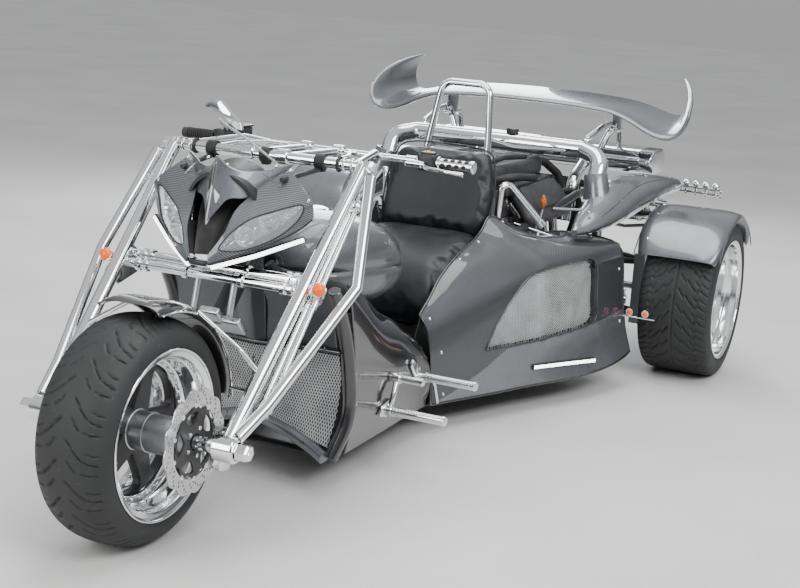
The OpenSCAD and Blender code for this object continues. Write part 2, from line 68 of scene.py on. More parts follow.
# ------------------------------------------------------------------ camera
def make_camera():
    yaw, pitch, roll = math.radians(-155.7), math.radians(-12.71), math.radians(3.76)
    f = Vector((math.cos(pitch) * math.cos(yaw), math.cos(pitch) * math.sin(yaw), math.sin(pitch)))
    r = f.cross(Vector((0, 0, 1))).normalized()
    u = r.cross(f)
    r2 = r * math.cos(roll) + u * math.sin(roll)
    u2 = -r * math.sin(roll) + u * math.cos(roll)
    cam = bpy.data.cameras.new("photo_camera")
    cam.lens, cam.sensor_width = 67.5, 36.0
    cam.clip_start, cam.clip_end = 0.05, 200
    ob = bpy.data.objects.new("photo_camera", cam)
    m = Matrix((r2, u2, -f)).transposed().to_4x4()
    m.translation = Vector((6.143 + SH * MM, 2.273, 1.642))
    ob.matrix_world = m
    bpy.context.scene.collection.objects.link(ob)
    bpy.context.scene.camera = ob


make_camera()


# ------------------------------------------------------------------ node helpers
class NT:
    """Small helper for writing node trees."""

    def __init__(self, name):
        self.mat = bpy.data.materials.new(name)
        self.mat.use_nodes = True
        self.t = self.mat.node_tree
        self.t.nodes.clear()
        self.out = self.t.nodes.new("ShaderNodeOutputMaterial")
        self.b = self.t.nodes.new("ShaderNodeBsdfPrincipled")
        self.t.links.new(self.b.outputs[0], self.out.inputs["Surface"])

    def n(self, kind, **kw):
        nd = self.t.nodes.new("ShaderNode" + kind)
        for k, v in kw.items():
            if k in nd.inputs:
                nd.inputs[k].default_value = v
            else:
                setattr(nd, k, v)
        return nd

    def link(self, a, b):
        self.t.links.new(a, b)

    def set(self, **kw):
        for k, v in kw.items():
            self.b.inputs[k.replace("_", " ")].default_value = v

    def math(self, op, a, b=None, c=None, clamp=False):
        nd = self.t.nodes.new("ShaderNodeMath")
        nd.operation = op
        nd.use_clamp = clamp
        for i, v in enumerate((a, b, c)):
            if v is None:
                continue
            if isinstance(v, (int, float)):
                nd.inputs[i].default_value = v
            else:
                self.link(v, nd.inputs[i])
        return nd.outputs[0]

    def coords(self, which="Object"):
        return self.n("TexCoord").outputs[which]

    def noise(self, scale, detail=4, rough=0.55, vec=None, dist=0.0):
        nd = self.n("TexNoise", Scale=scale, Detail=detail, Roughness=rough, Distortion=dist)
        self.link(vec or self.coords(), nd.inputs["Vector"])
        return nd.outputs["Fac"]

    def ramp(self, fac, stops):
        nd = self.n("ValToRGB")
        el = nd.color_ramp.elements
        while len(el) < len(stops):
            el.new(0.5)
        for e, (p, c) in zip(el, stops):
            e.position = p
            e.color = (*c, 1) if len(c) == 3 else c
        self.link(fac, nd.inputs["Fac"])
        return nd.outputs["Color"]

    def maprange(self, v, a, b, c, d):
        nd = self.n("MapRange")
        nd.inputs["From Min"].default_value, nd.inputs["From Max"].default_value = a, b
        nd.inputs["To Min"].default_value, nd.inputs["To Max"].default_value = c, d
        self.link(v, nd.inputs["Value"])
        return nd.outputs["Result"]

    def bump(self, h, strength=0.2, dist=0.002, normal=None):
        nd = self.n("Bump", Strength=strength, Distance=dist)
        self.link(h, nd.inputs["Height"])
        if normal:
            self.link(normal, nd.inputs["Normal"])
        return nd.outputs["Normal"]

    def color(self, sock):
        self.link(sock, self.b.inputs["Base Color"])

    def rough(self, sock):
        self.link(sock, self.b.inputs["Roughness"])

    def normal(self, sock):
        self.link(sock, self.b.inputs["Normal"])


M = {}


def m_chrome(name, col, r0, r1, micro=0.03):
    t = NT(name)
    n1 = t.noise(9.0, 5)
    n2 = t.noise(160.0, 3)
    t.color(t.ramp(n1, [(0.3, tuple(c * 0.9 for c in col)), (0.7, col)]))
    t.rough(t.maprange(n2, 0.3, 0.75, r0, r1))
    t.normal(t.bump(t.noise(420.0, 2), micro, 0.0004))
    t.set(Metallic=1.0)
    M[name] = t.mat
    return t


m_chrome("chrome", (0.90, 0.91, 0.92), 0.025, 0.10)
m_chrome("polished_rim", (0.88, 0.89, 0.90), 0.05, 0.16)
m_chrome("disc_steel", (0.62, 0.62, 0.63), 0.18, 0.34, 0.08)
m_chrome("dull_chrome", (0.62, 0.61, 0.60), 0.14, 0.30, 0.1)


def m_satin(name="satin_alloy", col=(0.66, 0.67, 0.69)):
    t = NT(name)
    co = t.coords()
    sep = t.n("SeparateXYZ"); t.link(co, sep.inputs[0])
    w = t.math("SINE", t.math("MULTIPLY", sep.outputs["Y"], 5200.0))
    t.color(t.ramp(t.noise(14, 4), [(0.3, tuple(c * 0.78 for c in col)), (0.75, col)]))
    t.rough(t.maprange(t.noise(60, 4), 0.3, 0.7, 0.26, 0.42))
    t.normal(t.bump(w, 0.06, 0.0004))
    t.set(Metallic=1.0)
    M[name] = t.mat


m_satin()


def m_paint(name, dark, light, metal=0.75, rough=0.30, coat=1.0, flake=0.25):
    t = NT(name)
    fl = t.n("TexVoronoi", Scale=1400.0)
    t.link(t.coords(), fl.inputs["Vector"])
    sp = t.maprange(fl.outputs["Distance"], 0.0, 0.9, 0.0, 1.0)
    big = t.noise(3.0, 3)
    mix = t.math("ADD", t.math("MULTIPLY", sp, flake), t.math("MULTIPLY", big, 0.7), clamp=True)
    t.color(t.ramp(mix, [(0.25, dark), (0.8, light)]))
    t.rough(t.maprange(t.noise(30, 4), 0.3, 0.7, rough * 0.85, rough * 1.2))
    t.set(Metallic=metal)
    t.b.inputs["Coat Weight"].default_value = coat
    t.b.inputs["Coat Roughness"].default_value = 0.035
    t.normal(t.bump(t.noise(55.0, 2), 0.02, 0.0006))
    M[name] = t.mat


m_paint("grey_gloss", (0.085, 0.090, 0.100), (0.23, 0.24, 0.262), metal=0.6)
m_paint("black_gloss", (0.006, 0.006, 0.007), (0.018, 0.018, 0.020), metal=0.0, rough=0.22)
m_paint("shadow_gloss", (0.012, 0.013, 0.015), (0.050, 0.053, 0.060), metal=0.5, rough=0.26)


def m_carbon(name, cell=0.0065, uv="UV", dark=(0.006, 0.006, 0.007), light=(0.085, 0.089, 0.097), coat=1.0):
    """Clear-coated twill: tows pass over two and under two, coloured with painted sheen."""
    t = NT(name)
    sep = t.n("SeparateXYZ"); t.link(t.coords(uv), sep.inputs[0])
    k = 1.0 / cell
    u = t.math("MULTIPLY", sep.outputs["X"], k)
    v = t.math("MULTIPLY", sep.outputs["Y"], k)
    iu, iv = t.math("FLOOR", u), t.math("FLOOR", v)
    fu, fv = t.math("FRACT", u), t.math("FRACT", v)
    s = t.math("FLOORED_MODULO", t.math("ADD", iu, iv), 4.0)
    warp = t.math("LESS_THAN", s, 1.5)
    # each tow is a rounded band across its width
    cu = t.math("SINE", t.math("MULTIPLY", fu, math.pi))
    cv = t.math("SINE", t.math("MULTIPLY", fv, math.pi))
    inv = t.math("SUBTRACT", 1.0, warp)
    h = t.math("ADD", t.math("MULTIPLY", warp, cu), t.math("MULTIPLY", inv, cv))
    # painted sheen: warp tows are painted lighter than weft tows, and each tow is painted lighter along its rounded
    # crown as a painted highlight; the filament noise below adds random tone
    shade = t.math("ADD", t.math("MULTIPLY", warp, 0.62), t.math("MULTIPLY", h, 0.30), clamp=True)
    fil = t.noise(900.0, 2)
    shade = t.math("ADD", shade, t.math("MULTIPLY", t.math("SUBTRACT", fil, 0.5), 0.18), clamp=True)
    t.color(t.ramp(shade, [(0.05, dark), (0.95, light)]))
    t.rough(t.maprange(h, 0.0, 1.0, 0.48, 0.30))
    t.normal(t.bump(h, 0.35, 0.0010))
    t.set(Metallic=0.55)
    t.b.inputs["Coat Weight"].default_value = coat
    t.b.inputs["Coat Roughness"].default_value = 0.03
    M[name] = t.mat


m_carbon("carbon_gloss", cell=0.0019, light=(0.095, 0.101, 0.113), dark=(0.014, 0.015, 0.018))
m_carbon("carbon_big", cell=0.0021, light=(0.20, 0.21, 0.23), dark=(0.030, 0.032, 0.036))


def m_plastic(name, dark, light, r=0.5, grain=380.0, bump=0.15, coat=0.0):
    t = NT(name)
    t.color(t.ramp(t.noise(8, 5), [(0.3, dark), (0.75, light)]))
    t.rough(t.maprange(t.noise(45, 4), 0.3, 0.7, r * 0.82, r * 1.15))
    t.normal(t.bump(t.noise(grain, 3), bump, 0.0008))
    t.b.inputs["Coat Weight"].default_value = coat
    M[name] = t.mat


m_plastic("black_satin", (0.010, 0.010, 0.011), (0.028, 0.028, 0.030), 0.42)
m_plastic("frame_black", (0.014, 0.014, 0.015), (0.035, 0.035, 0.037), 0.38, 260, 0.10)
m_plastic("engine_plastic", (0.022, 0.023, 0.025), (0.055, 0.057, 0.060), 0.55, 520, 0.35)
m_plastic("orange_plastic", (0.45, 0.10, 0.015), (0.62, 0.16, 0.03), 0.4)
m_plastic("yellow_plastic", (0.75, 0.50, 0.02), (0.90, 0.62, 0.05), 0.4)
m_plastic("rubber_black", (0.010, 0.010, 0.010), (0.026, 0.026, 0.026), 0.62, 300, 0.3)
m_plastic("hose_grey", (0.30, 0.31, 0.32), (0.46, 0.47, 0.48), 0.42, 600, 0.2)


def m_cast(name="cast_alloy", dark=(0.16, 0.16, 0.165), light=(0.34, 0.345, 0.35)):
    t = NT(name)
    t.color(t.ramp(t.noise(11, 6), [(0.3, dark), (0.75, light)]))
    t.rough(t.maprange(t.noise(40, 4), 0.3, 0.7, 0.42, 0.66))
    t.normal(t.bump(t.noise(240, 4), 0.4, 0.0012))
    t.set(Metallic=0.85)
    M[name] = t.mat


m_cast()
m_cast("mesh_steel", (0.50, 0.51, 0.52), (0.80, 0.81, 0.82))


def m_rubber():
    t = NT("tyre_rubber")
    dust = t.noise(7, 6, 0.65)
    spots = t.n("TexVoronoi", Scale=46.0); t.link(t.coords(), spots.inputs["Vector"])
    sp = t.math("LESS_THAN", spots.outputs["Distance"], t.math("MULTIPLY", t.noise(19, 3), 0.22))
    base = t.math("ADD", dust, t.math("MULTIPLY", sp, 0.22), clamp=True)
    t.color(t.ramp(base, [(0.30, (0.011, 0.0115, 0.012)), (0.62, (0.026, 0.027, 0.028)), (0.95, (0.095, 0.093, 0.090))]))
    t.rough(t.maprange(dust, 0.3, 0.7, 0.50, 0.82))
    t.normal(t.bump(t.noise(700, 3), 0.25, 0.0008))
    M["tyre_rubber"] = t.mat


m_rubber()


def m_leather():
    t = NT("leather_black")
    v = t.n("TexVoronoi", Scale=330.0); t.link(t.coords(), v.inputs["Vector"])
    v.feature = "DISTANCE_TO_EDGE"
    pores = t.maprange(v.outputs["Distance"], 0.0, 0.12, 0.0, 1.0)
    soft = t.noise(16, 5)
    t.color(t.ramp(soft, [(0.25, (0.005, 0.0055, 0.007)), (0.8, (0.014, 0.0155, 0.019))]))
    t.rough(t.maprange(soft, 0.3, 0.7, 0.34, 0.50))
    nrm = t.bump(soft, 0.12, 0.004)
    t.normal(t.bump(pores, 0.22, 0.0007, nrm))
    t.b.inputs["Specular IOR Level"].default_value = 0.46
    M["leather_black"] = t.mat


m_leather()


def m_emit(name, col, strength, scale=260.0, low=0.45):
    t = NT(name)
    n = t.noise(scale, 2)
    t.color(t.ramp(n, [(0.3, tuple(c * 0.8 for c in col)), (0.7, col)]))
    cr = t.ramp(n, [(0.25, tuple(c * low for c in col)), (0.65, col)])
    t.link(cr, t.b.inputs["Emission Color"])
    t.b.inputs["Emission Strength"].default_value = strength
    t.set(Roughness=0.2)
    M[name] = t.mat


m_emit("led_white", (0.95, 0.97, 1.0), 7.0)
m_emit("glow_amber", (1.0, 0.13, 0.0), 0.40, 90.0, 0.30)


def m_lens(name, col, alpha, rough=0.04, coat=1.0):
    t = NT(name)
    n = t.noise(18, 3)
    t.color(t.ramp(n, [(0.3, tuple(c * 0.85 for c in col)), (0.7, col)]))
    t.rough(t.maprange(n, 0.3, 0.7, rough, rough * 2))
    t.b.inputs["Alpha"].default_value = alpha
    t.b.inputs["Coat Weight"].default_value = coat
    t.b.inputs["Coat Roughness"].default_value = 0.02
    t.b.inputs["Specular IOR Level"].default_value = 0.8
    wv = t.n("TexWave", Scale=60.0); t.link(t.coords(), wv.inputs["Vector"])
    t.normal(t.bump(wv.outputs["Fac"], 0.04, 0.001))
    M[name] = t.mat


m_lens("lens_clear", (0.70, 0.76, 0.80), 0.22)
m_lens("lens_amber", (0.85, 0.30, 0.02), 0.72)
m_lens("lens_red", (0.45, 0.012, 0.012), 0.88)
m_plastic("mirror_white", (0.70, 0.72, 0.74), (0.88, 0.89, 0.90), 0.10, 60, 0.02, 1.0)


# ------------------------------------------------------------------ mesh builder
def rounded_path(pts, br, k=8):
    pts = [Vector(p) for p in pts]
    if br <= 0 or len(pts) < 3:
        return pts
    out = [pts[0]]
    for i in range(1, len(pts) - 1):
        a, b, c = pts[i - 1], pts[i], pts[i + 1]
        d1, d2 = (b - a).normalized(), (c - b).normalized()
        ang = d1.angle(d2)
        if ang < 1e-3:
            continue
        tr = min(br * math.tan(ang / 2), (b - a).length * 0.49, (c - b).length * 0.49)
        R = tr / math.tan(ang / 2)
        nn = (d2 - d1 * d1.dot(d2)).normalized()
        ctr = b - d1 * tr + nn * R
        for j in range(k + 1):
            q = ang * j / k
            out.append(ctr - nn * R * math.cos(q) + d1 * R * math.sin(q))
    out.append(pts[-1])
    return out


class B:
    """Collects meshes (mm, rear-axle frame) into one object."""

    def __init__(self):
        self.v, self.f, self.uv = [], [], None

    def add(self, verts, faces):
        o = len(self.v)
        self.v += [Vector(v) for v in verts]
        self.f += [[i + o for i in f] for f in faces]
        return self

    def bm(self, bm, mat=None):
        bm.verts.ensure_lookup_table()
        vs = [(mat @ v.co if mat else v.co.copy()) for v in bm.verts]
        fs = [[v.index for v in f.verts] for f in bm.faces]
        self.add(vs, fs)
        bm.free()
        return self

    def tube(self, pts, r, bend=0, n=28, k=8, cap=True, flat=1.0):
        path = rounded_path(pts, bend, k)
        m = len(path)
        rr = r if callable(r) else (lambda t: r)
        tan = []
        for i in range(m):
            a, b = path[max(i - 1, 0)], path[min(i + 1, m - 1)]
            if 0 < i < m - 1:
                t = (path[i] - a).normalized() + (b - path[i]).normalized()
            else:
                t = b - a
            tan.append(t.normalized())
        seed = Vector((0, 0, 1)) if abs(tan[0].z) < 0.9 else Vector((1, 0, 0))
        nrm = (seed - tan[0] * seed.dot(tan[0])).normalized()
        vs, rows = [], []
        L = [0.0]
        for i in range(1, m):
            L.append(L[-1] + (path[i] - path[i - 1]).length)

        def ring(c, t, nv, rad, stretch=1.0, sdir=None):
            w = t.cross(nv)
            row = []
            for j in range(n):
                q = 2 * math.pi * j / n
                off = (nv * math.cos(q) + w * math.sin(q) * flat) * rad
                if sdir is not None:
                    off += sdir * off.dot(sdir) * (stretch - 1)
                row.append(len(vs)); vs.append(c + off)
            rows.append(row)

        for i in range(m):
            if i:
                nrm = (nrm - tan[i] * nrm.dot(tan[i])).normalized()
            rad = rr(L[i] / L[-1])
            if 0 < i < m - 1 and bend <= 0:
                d1 = (path[i] - path[i - 1]).normalized()
                cosb = max(0.3, d1.dot(tan[i]))
                d2 = (path[i + 1] - path[i]).normalized()
                s = (d2 - d1)
                if s.length > 1e-4:
                    s = (s - tan[i] * s.dot(tan[i])).normalized()
                    ring(path[i], tan[i], nrm, rad, 1 / cosb, s)
                    continue
            if cap and i in (0, m - 1):
                e = min(rad * 0.18, 2.5)
                inw = tan[i] * (1 if i == 0 else -1)
                if i == 0:
                    ring(path[i], tan[i], nrm, rad - e); ring(path[i] + inw * e, tan[i], nrm, rad)
                else:
                    ring(path[i] + inw * e, tan[i], nrm, rad); ring(path[i], tan[i], nrm, rad - e)
                continue
            ring(path[i], tan[i], nrm, rad)
        fs = []
        for a, b in zip(rows, rows[1:]):
            for j in range(n):
                fs.append([a[j], a[(j + 1) % n], b[(j + 1) % n], b[j]])
        if cap:
            fs.append(rows[0][::-1]); fs.append(rows[-1])
        return self.add(vs, fs)

    def rev(self, c, axis, prof, n=64, arc=None, closed=False, off=0.0):
        """Revolve prof [(t along axis, radius)] about the line c + t*axis."""
        c, a = Vector(c), Vector(axis).normalized()
        s = Vector((0, 0, 1)) if abs(a.z) < 0.9 else Vector((1, 0, 0))
        x = (s - a * s.dot(a)).normalized(); y = a.cross(x)
        vs, fs = [], []
        full = arc is None
        cnt = n if full else n + 1
        for i in range(cnt):
            q = (2 * math.pi * i / n if full else math.radians(arc[0] + (arc[1] - arc[0]) * i / n)) + off
            d = x * math.cos(q) + y * math.sin(q)
            for t, r in prof:
                vs.append(c + a * t + d * r)
        m = len(prof)
        for i in range(n):
            k0, k1 = i * m, ((i + 1) % cnt) * m
            for j in range(m if closed else m - 1):
                j2 = (j + 1) % m
                quad = [k0 + j, k0 + j2, k1 + j2, k1 + j]
                fs.append(quad)
        if not full and closed:
            fs.append(list(range(m))); fs.append([n * m + j for j in range(m)][::-1])
        return self.add(vs, fs)

    def cyl(self, a, b, r, n=32, bev=1.0, r2=None):
        a, b = Vector(a), Vector(b)
        L = (b - a).length
        r2 = r if r2 is None else r2
        e = min(bev, L * 0.4, r * 0.4)
        return self.rev(a, b - a, [(0, 0.001), (0, r - e), (e, r), (L - e, r2), (L, r2 - e), (L, 0.001)], n)

    def box(self, c, s, rot=None, bev=2.0, seg=2):
        bm = bmesh.new()
        bmesh.ops.create_cube(bm, size=1.0)
        for v in bm.verts:
            v.co = Vector((v.co.x * s[0], v.co.y * s[1], v.co.z * s[2]))
        if bev > 0:
            bmesh.ops.bevel(bm, geom=bm.edges[:], offset=min(bev, min(s) * 0.45), segments=seg, affect="EDGES", profile=0.5)
        m = Matrix.Translation(Vector(c)) @ (rot.to_4x4() if rot else Matrix())
        return self.bm(bm, m)

    def prism(self, poly, h, mat, bev=1.0, seg=2):
        """Extrude a 2D outline (x, y) by h along z of mat, with bevelled edges."""
        bm = bmesh.new()
        vs = [bm.verts.new((p[0], p[1], 0)) for p in poly]
        f = bm.faces.new(vs)
        r = bmesh.ops.extrude_face_region(bm, geom=[f])
        for g in r["geom"]:
            if isinstance(g, bmesh.types.BMVert):
                g.co.z += h
        bmesh.ops.recalc_face_normals(bm, faces=bm.faces[:])
        if bev > 0:
            bmesh.ops.bevel(bm, geom=bm.edges[:], offset=bev, segments=seg, affect="EDGES", profile=0.5, clamp_overlap=True)
        return self.bm(bm, mat)

    def ball(self, c, r, n=24, sc=(1, 1, 1), rot=None):
        bm = bmesh.new()
        bmesh.ops.create_uvsphere(bm, u_segments=n, v_segments=max(8, n // 2), radius=r)
        for v in bm.verts:
            v.co = Vector((v.co.x * sc[0], v.co.y * sc[1], v.co.z * sc[2]))
        m = Matrix.Translation(Vector(c)) @ (rot.to_4x4() if rot else Matrix())
        return self.bm(bm, m)

    def bolt(self, p, d, r=5.0, h=3.0, kind="dome"):
        p, d = Vector(p), Vector(d).normalized()
        if kind == "hex":
            self.rev(p - d * 1, d, [(0, 0.001), (0, r), (h * 0.8, r), (h, r * 0.85), (h, 0.001)], 6)
        elif kind == "socket":
            self.rev(p - d * 1, d, [(0, r), (h, r), (h + 0.6, r * 0.9), (h + 0.6, r * 0.5), (h * 0.4, r * 0.5), (h * 0.4, 0.001)], 14)
        else:
            self.rev(p - d * 1, d, [(0, r), (h * 0.4, r * 0.95), (h * 0.8, r * 0.7), (h, 0.001)], 14)
        return self

    def both(self, fn):
        """Run fn on a fresh builder, then add it and its mirror image in Y."""
        b = B(); fn(b)
        self.add(b.v, b.f)
        self.add([Vector((v.x, -v.y, v.z)) for v in b.v], [f[::-1] for f in b.f])
        return self

    def make(self, name, mat, body, replaces=(), sharp=32, smooth=True, weld=True):
        me = bpy.data.meshes.new(name)
        me.from_pydata([P(*v) for v in self.v], [], self.f)
        return finish_obj(name, me, mat, body, replaces, sharp, smooth)


def finish_obj(name, me, mat, body, replaces=(), sharp=32, smooth=True, recalc=True):
    if recalc:
        bm = bmesh.new(); bm.from_mesh(me)
        bmesh.ops.recalc_face_normals(bm, faces=bm.faces[:])
        bm.to_mesh(me); bm.free()
    me.update()
    if smooth:
        me.polygons.foreach_set("use_smooth", [True] * len(me.polygons))
        if sharp:
            me.set_sharp_from_angle(angle=math.radians(sharp))
    me.materials.append(M[mat])
    o = bpy.data.objects.new(name, me)
    bpy.context.scene.collection.objects.link(o)
    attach(o, body)
    for r in replaces:
        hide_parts(r)
    return o


def catmull(ts, pts, t):
    """Smooth interpolation through rows of numbers."""
    ts = list(ts)
    t = min(max(t, ts[0]), ts[-1])
    i = max(0, min(len(ts) - 2, next((k for k in range(len(ts) - 1) if t <= ts[k + 1]), len(ts) - 2)))
    p = np.asarray(pts, float)
    u = (t - ts[i]) / (ts[i + 1] - ts[i])

    def slope(j):
        if j == 0:
            return (p[1] - p[0]) / (ts[1] - ts[0])
        if j == len(ts) - 1:
            return (p[-1] - p[-2]) / (ts[-1] - ts[-2])
        return (p[j + 1] - p[j - 1]) / (ts[j + 1] - ts[j - 1])

    h = ts[i + 1] - ts[i]
    m0, m1 = slope(i) * h, slope(i + 1) * h
    u2, u3 = u * u, u * u * u
    return (2 * u3 - 3 * u2 + 1) * p[i] + (u3 - 2 * u2 + u) * m0 + (-2 * u3 + 3 * u2) * p[i + 1] + (u3 - u2) * m1


def resample(poly, n):
    """n points evenly spaced along a smooth curve through poly."""
    q = np.asarray(poly, float)
    d = np.r_[0, np.cumsum(np.linalg.norm(np.diff(q, axis=0), axis=1))]
    d /= d[-1]
    return np.array([catmull(d, q, i / (n - 1)) for i in range(n)])


def surface(name, rows, mat, body, slot=None, replaces=(), nu=40, nv=24, thick=5.0, sharp=40, flip=False,
            sub=0, keep=None, bevel=1.2, mirror=False, uvscale=1.0, side_mat=None):
    """Smooth panel through rows of points. Each row is a polyline; the panel gets real
    thickness, a rounded edge and UVs in metres. keep(u, v, p) leaves out faces where it says False."""
    R = [resample(r, nv) for r in rows]
    c = np.array([np.mean(r, axis=0) for r in R])
    d = np.r_[0, np.cumsum(np.linalg.norm(np.diff(c, axis=0), axis=1))]
    d /= d[-1]
    G = np.array([[catmull(d, [R[k][j] for k in range(len(R))], i / (nu - 1)) for j in range(nv)] for i in range(nu)])
    if mirror:
        G = G * np.array([1, -1, 1])
    return panel(name, G, mat, body, replaces, thick, sharp, flip != mirror, keep, bevel, side_mat)


def panel(name, G, mat, body, replaces=(), thick=5.0, sharp=40, flip=False, keep=None, bevel=1.2, side_mat=None):
    nu, nv = G.shape[:2]
    U = np.zeros((nu, nv)); W = np.zeros((nu, nv))
    U[1:] = np.cumsum(np.linalg.norm(np.diff(G, axis=0), axis=2).mean(axis=1))[:, None]
    W[:, 1:] = np.cumsum(np.linalg.norm(np.diff(G, axis=1), axis=2), axis=1)
    me = bpy.data.meshes.new(name)
    verts = [P(*p) for p in G.reshape(-1, 3)]
    faces = []
    for i in range(nu - 1):
        for j in range(nv - 1):
            if keep is not None and not keep((i + 0.5) / (nu - 1), (j + 0.5) / (nv - 1), G[i, j]):
                continue
            q = [i * nv + j, i * nv + j + 1, (i + 1) * nv + j + 1, (i + 1) * nv + j]
            faces.append(q[::-1] if flip else q)
    me.from_pydata(verts, [], faces)
    uv = me.uv_layers.new(name="UVMap")
    li = np.zeros(len(me.loops), dtype=np.int32)
    me.loops.foreach_get("vertex_index", li)
    co = np.c_[U.reshape(-1)[li] * MM, W.reshape(-1)[li] * MM].astype(np.float32)
    uv.data.foreach_set("uv", co.reshape(-1))
    if keep is not None:
        bm = bmesh.new(); bm.from_mesh(me)
        bmesh.ops.delete(bm, geom=[v for v in bm.verts if not v.link_faces], context="VERTS")
        bm.to_mesh(me); bm.free()
    o = finish_obj(name, me, mat, body, replaces, sharp, True, recalc=False)
    if side_mat:
        me.materials.append(M[side_mat])
    md = o.modifiers.new("wall", "SOLIDIFY")
    md.thickness = thick * MM
    md.offset = -1.0
    md.use_even_offset = True
    md.use_quality_normals = True
    if side_mat:
        md.material_offset_rim = 1
    if bevel:
        bv = o.modifiers.new("edge", "BEVEL")
        bv.width = bevel * MM; bv.segments = 2; bv.limit_method = "ANGLE"; bv.angle_limit = math.radians(50)
    return o


def gmat(node, mat):
    """Give a carried-over CAD node its material."""
    o = frame["nodes"][node]
    o.data.materials.clear()
    o.data.materials.append(M[mat])


def frame_at(origin, xdir, ydir):
    """Matrix whose local x, y span a plane and z is its normal."""
    x = Vector(xdir).normalized()
    z = x.cross(Vector(ydir)).normalized()
    y = z.cross(x)
    m = Matrix((x, y, z)).transposed().to_4x4()
    m.translation = Vector(origin)
    return m
# ------------------------------------------------------------------ flat plates with holes
def plate(b, loops, h, mat, bev=0.6):
    """Adds a flat plate with holes to builder b. The first loop is the outline, the rest are holes."""
    cu = bpy.data.curves.new("tmp_plate", "CURVE")
    cu.dimensions = "2D"; cu.fill_mode = "BOTH"
    cu.extrude = max(0.05, h / 2 - bev); cu.bevel_depth = bev; cu.bevel_resolution = 1
    cu.offset = -bev
    for lp in loops:
        s = cu.splines.new("POLY"); s.points.add(len(lp) - 1); s.use_cyclic_u = True
        for p, q in zip(s.points, lp):
            p.co = (q[0], q[1], 0, 1)
    ob = bpy.data.objects.new("tmp_plate", cu)
    bpy.context.scene.collection.objects.link(ob)
    dg = bpy.context.evaluated_depsgraph_get()
    me = bpy.data.meshes.new_from_object(ob.evaluated_get(dg))
    vs = [mat @ v.co for v in me.vertices]
    b.add(vs, [list(p.vertices) for p in me.polygons])
    bpy.data.objects.remove(ob); bpy.data.curves.remove(cu); bpy.data.meshes.remove(me)
    return b


def circ(cx, cy, r, n=20, ph=0.0):
    return [(cx + r * math.cos(2 * math.pi * i / n + ph), cy + r * math.sin(2 * math.pi * i / n + ph)) for i in range(n)]


# ------------------------------------------------------------------ tyres
def seg_dist(px, py, poly):
    d = np.full(px.shape, 1e9)
    for (x0, y0), (x1, y1) in zip(poly, poly[1:]):
        dx, dy = x1 - x0, y1 - y0
        t = np.clip(((px - x0) * dx + (py - y0) * dy) / (dx * dx + dy * dy), 0, 1)
        d = np.minimum(d, np.hypot(px - x0 - t * dx, py - y0 - t * dy))
    return d


def tyre(name, c, prof, tread_half, pitches, per, curves, rings, depth, body, node, nt=56, ns=12, flip=False):
    """prof: (y, r) from crown centre outwards to the bead; curves: groove lines (s, y, half width)."""
    prof = np.array(prof, float)
    tread = prof[prof[:, 0] <= tread_half + 1e-6][:]
    d = np.r_[0, np.cumsum(np.hypot(*np.diff(prof, axis=0).T))]
    k = int(np.argmax(prof[:, 0] >= tread_half - 1e-6))
    dt = np.linspace(0, d[k], nt // 2 + 1)
    dw = np.linspace(d[k], d[-1], ns + 1)[1:]
    half = np.array([catmull(d, prof, x) for x in np.r_[dt, dw]])
    prof_all = np.vstack([half[:0:-1] * [-1, 1], half])
    y, r = prof_all[:, 0], prof_all[:, 1]
    R = r.max()
    pitch = 2 * math.pi * R / pitches
    s = np.arange(per) * pitch / per
    S, Y = np.meshgrid(s, y, indexing="ij")
    g = np.zeros(S.shape)
    for poly, hw, dp in curves:
        for side in (1, -1):
            off = 0 if side == 1 else pitch / 2
            ds = np.full(S.shape, 1e9)
            for wrap in (-2, -1, 0, 1, 2):
                q = [((-p[0] if flip else p[0]) + off + wrap * pitch, p[1] * side) for p in poly]
                ds = np.minimum(ds, seg_dist(S, Y, q))
            g = np.maximum(g, np.clip((hw + 1.1 - ds) / 1.6, 0, 1) * dp)
    for yr, hw, dp in rings:
        for side in ((1, -1) if yr else (1,)):
            g = np.maximum(g, np.clip((hw + 0.9 - np.abs(Y - side * yr)) / 1.4, 0, 1) * dp)
    fade = np.clip((tread_half + 4 - np.abs(Y)) / 8, 0, 1)
    g = np.tile(g * fade * depth, (pitches, 1))
    nu = pitches * per
    th = np.arange(nu) * 2 * math.pi / nu
    # groove pushes the surface in towards the centre of the section
    n_y = np.gradient(y); n_r = np.gradient(r); L = np.hypot(n_y, n_r)
    ny, nr = n_r / L, -n_y / L
    nr, ny = (nr, ny) if nr[len(nr) // 2] < 0 else (-nr, -ny)
    YY = y[None, :] + ny[None, :] * g
    RR = r[None, :] + nr[None, :] * g
    T = th[:, None]
    V = np.stack([c[0] + RR * np.sin(T), c[1] + YY, c[2] + RR * np.cos(T)], axis=2).reshape(-1, 3)
    nv = len(y)
    faces = []
    for i in range(nu):
        i2 = (i + 1) % nu
        a = i * nv; bb = i2 * nv
        for j in range(nv - 1):
            faces.append((a + j, a + j + 1, bb + j + 1, bb + j))
        faces.append((a + nv - 1, a, bb, bb + nv - 1))
    me = bpy.data.meshes.new(name)
    me.from_pydata([P(*p) for p in V], [], faces)
    return finish_obj(name, me, "tyre_rubber", body, (node,), 48)


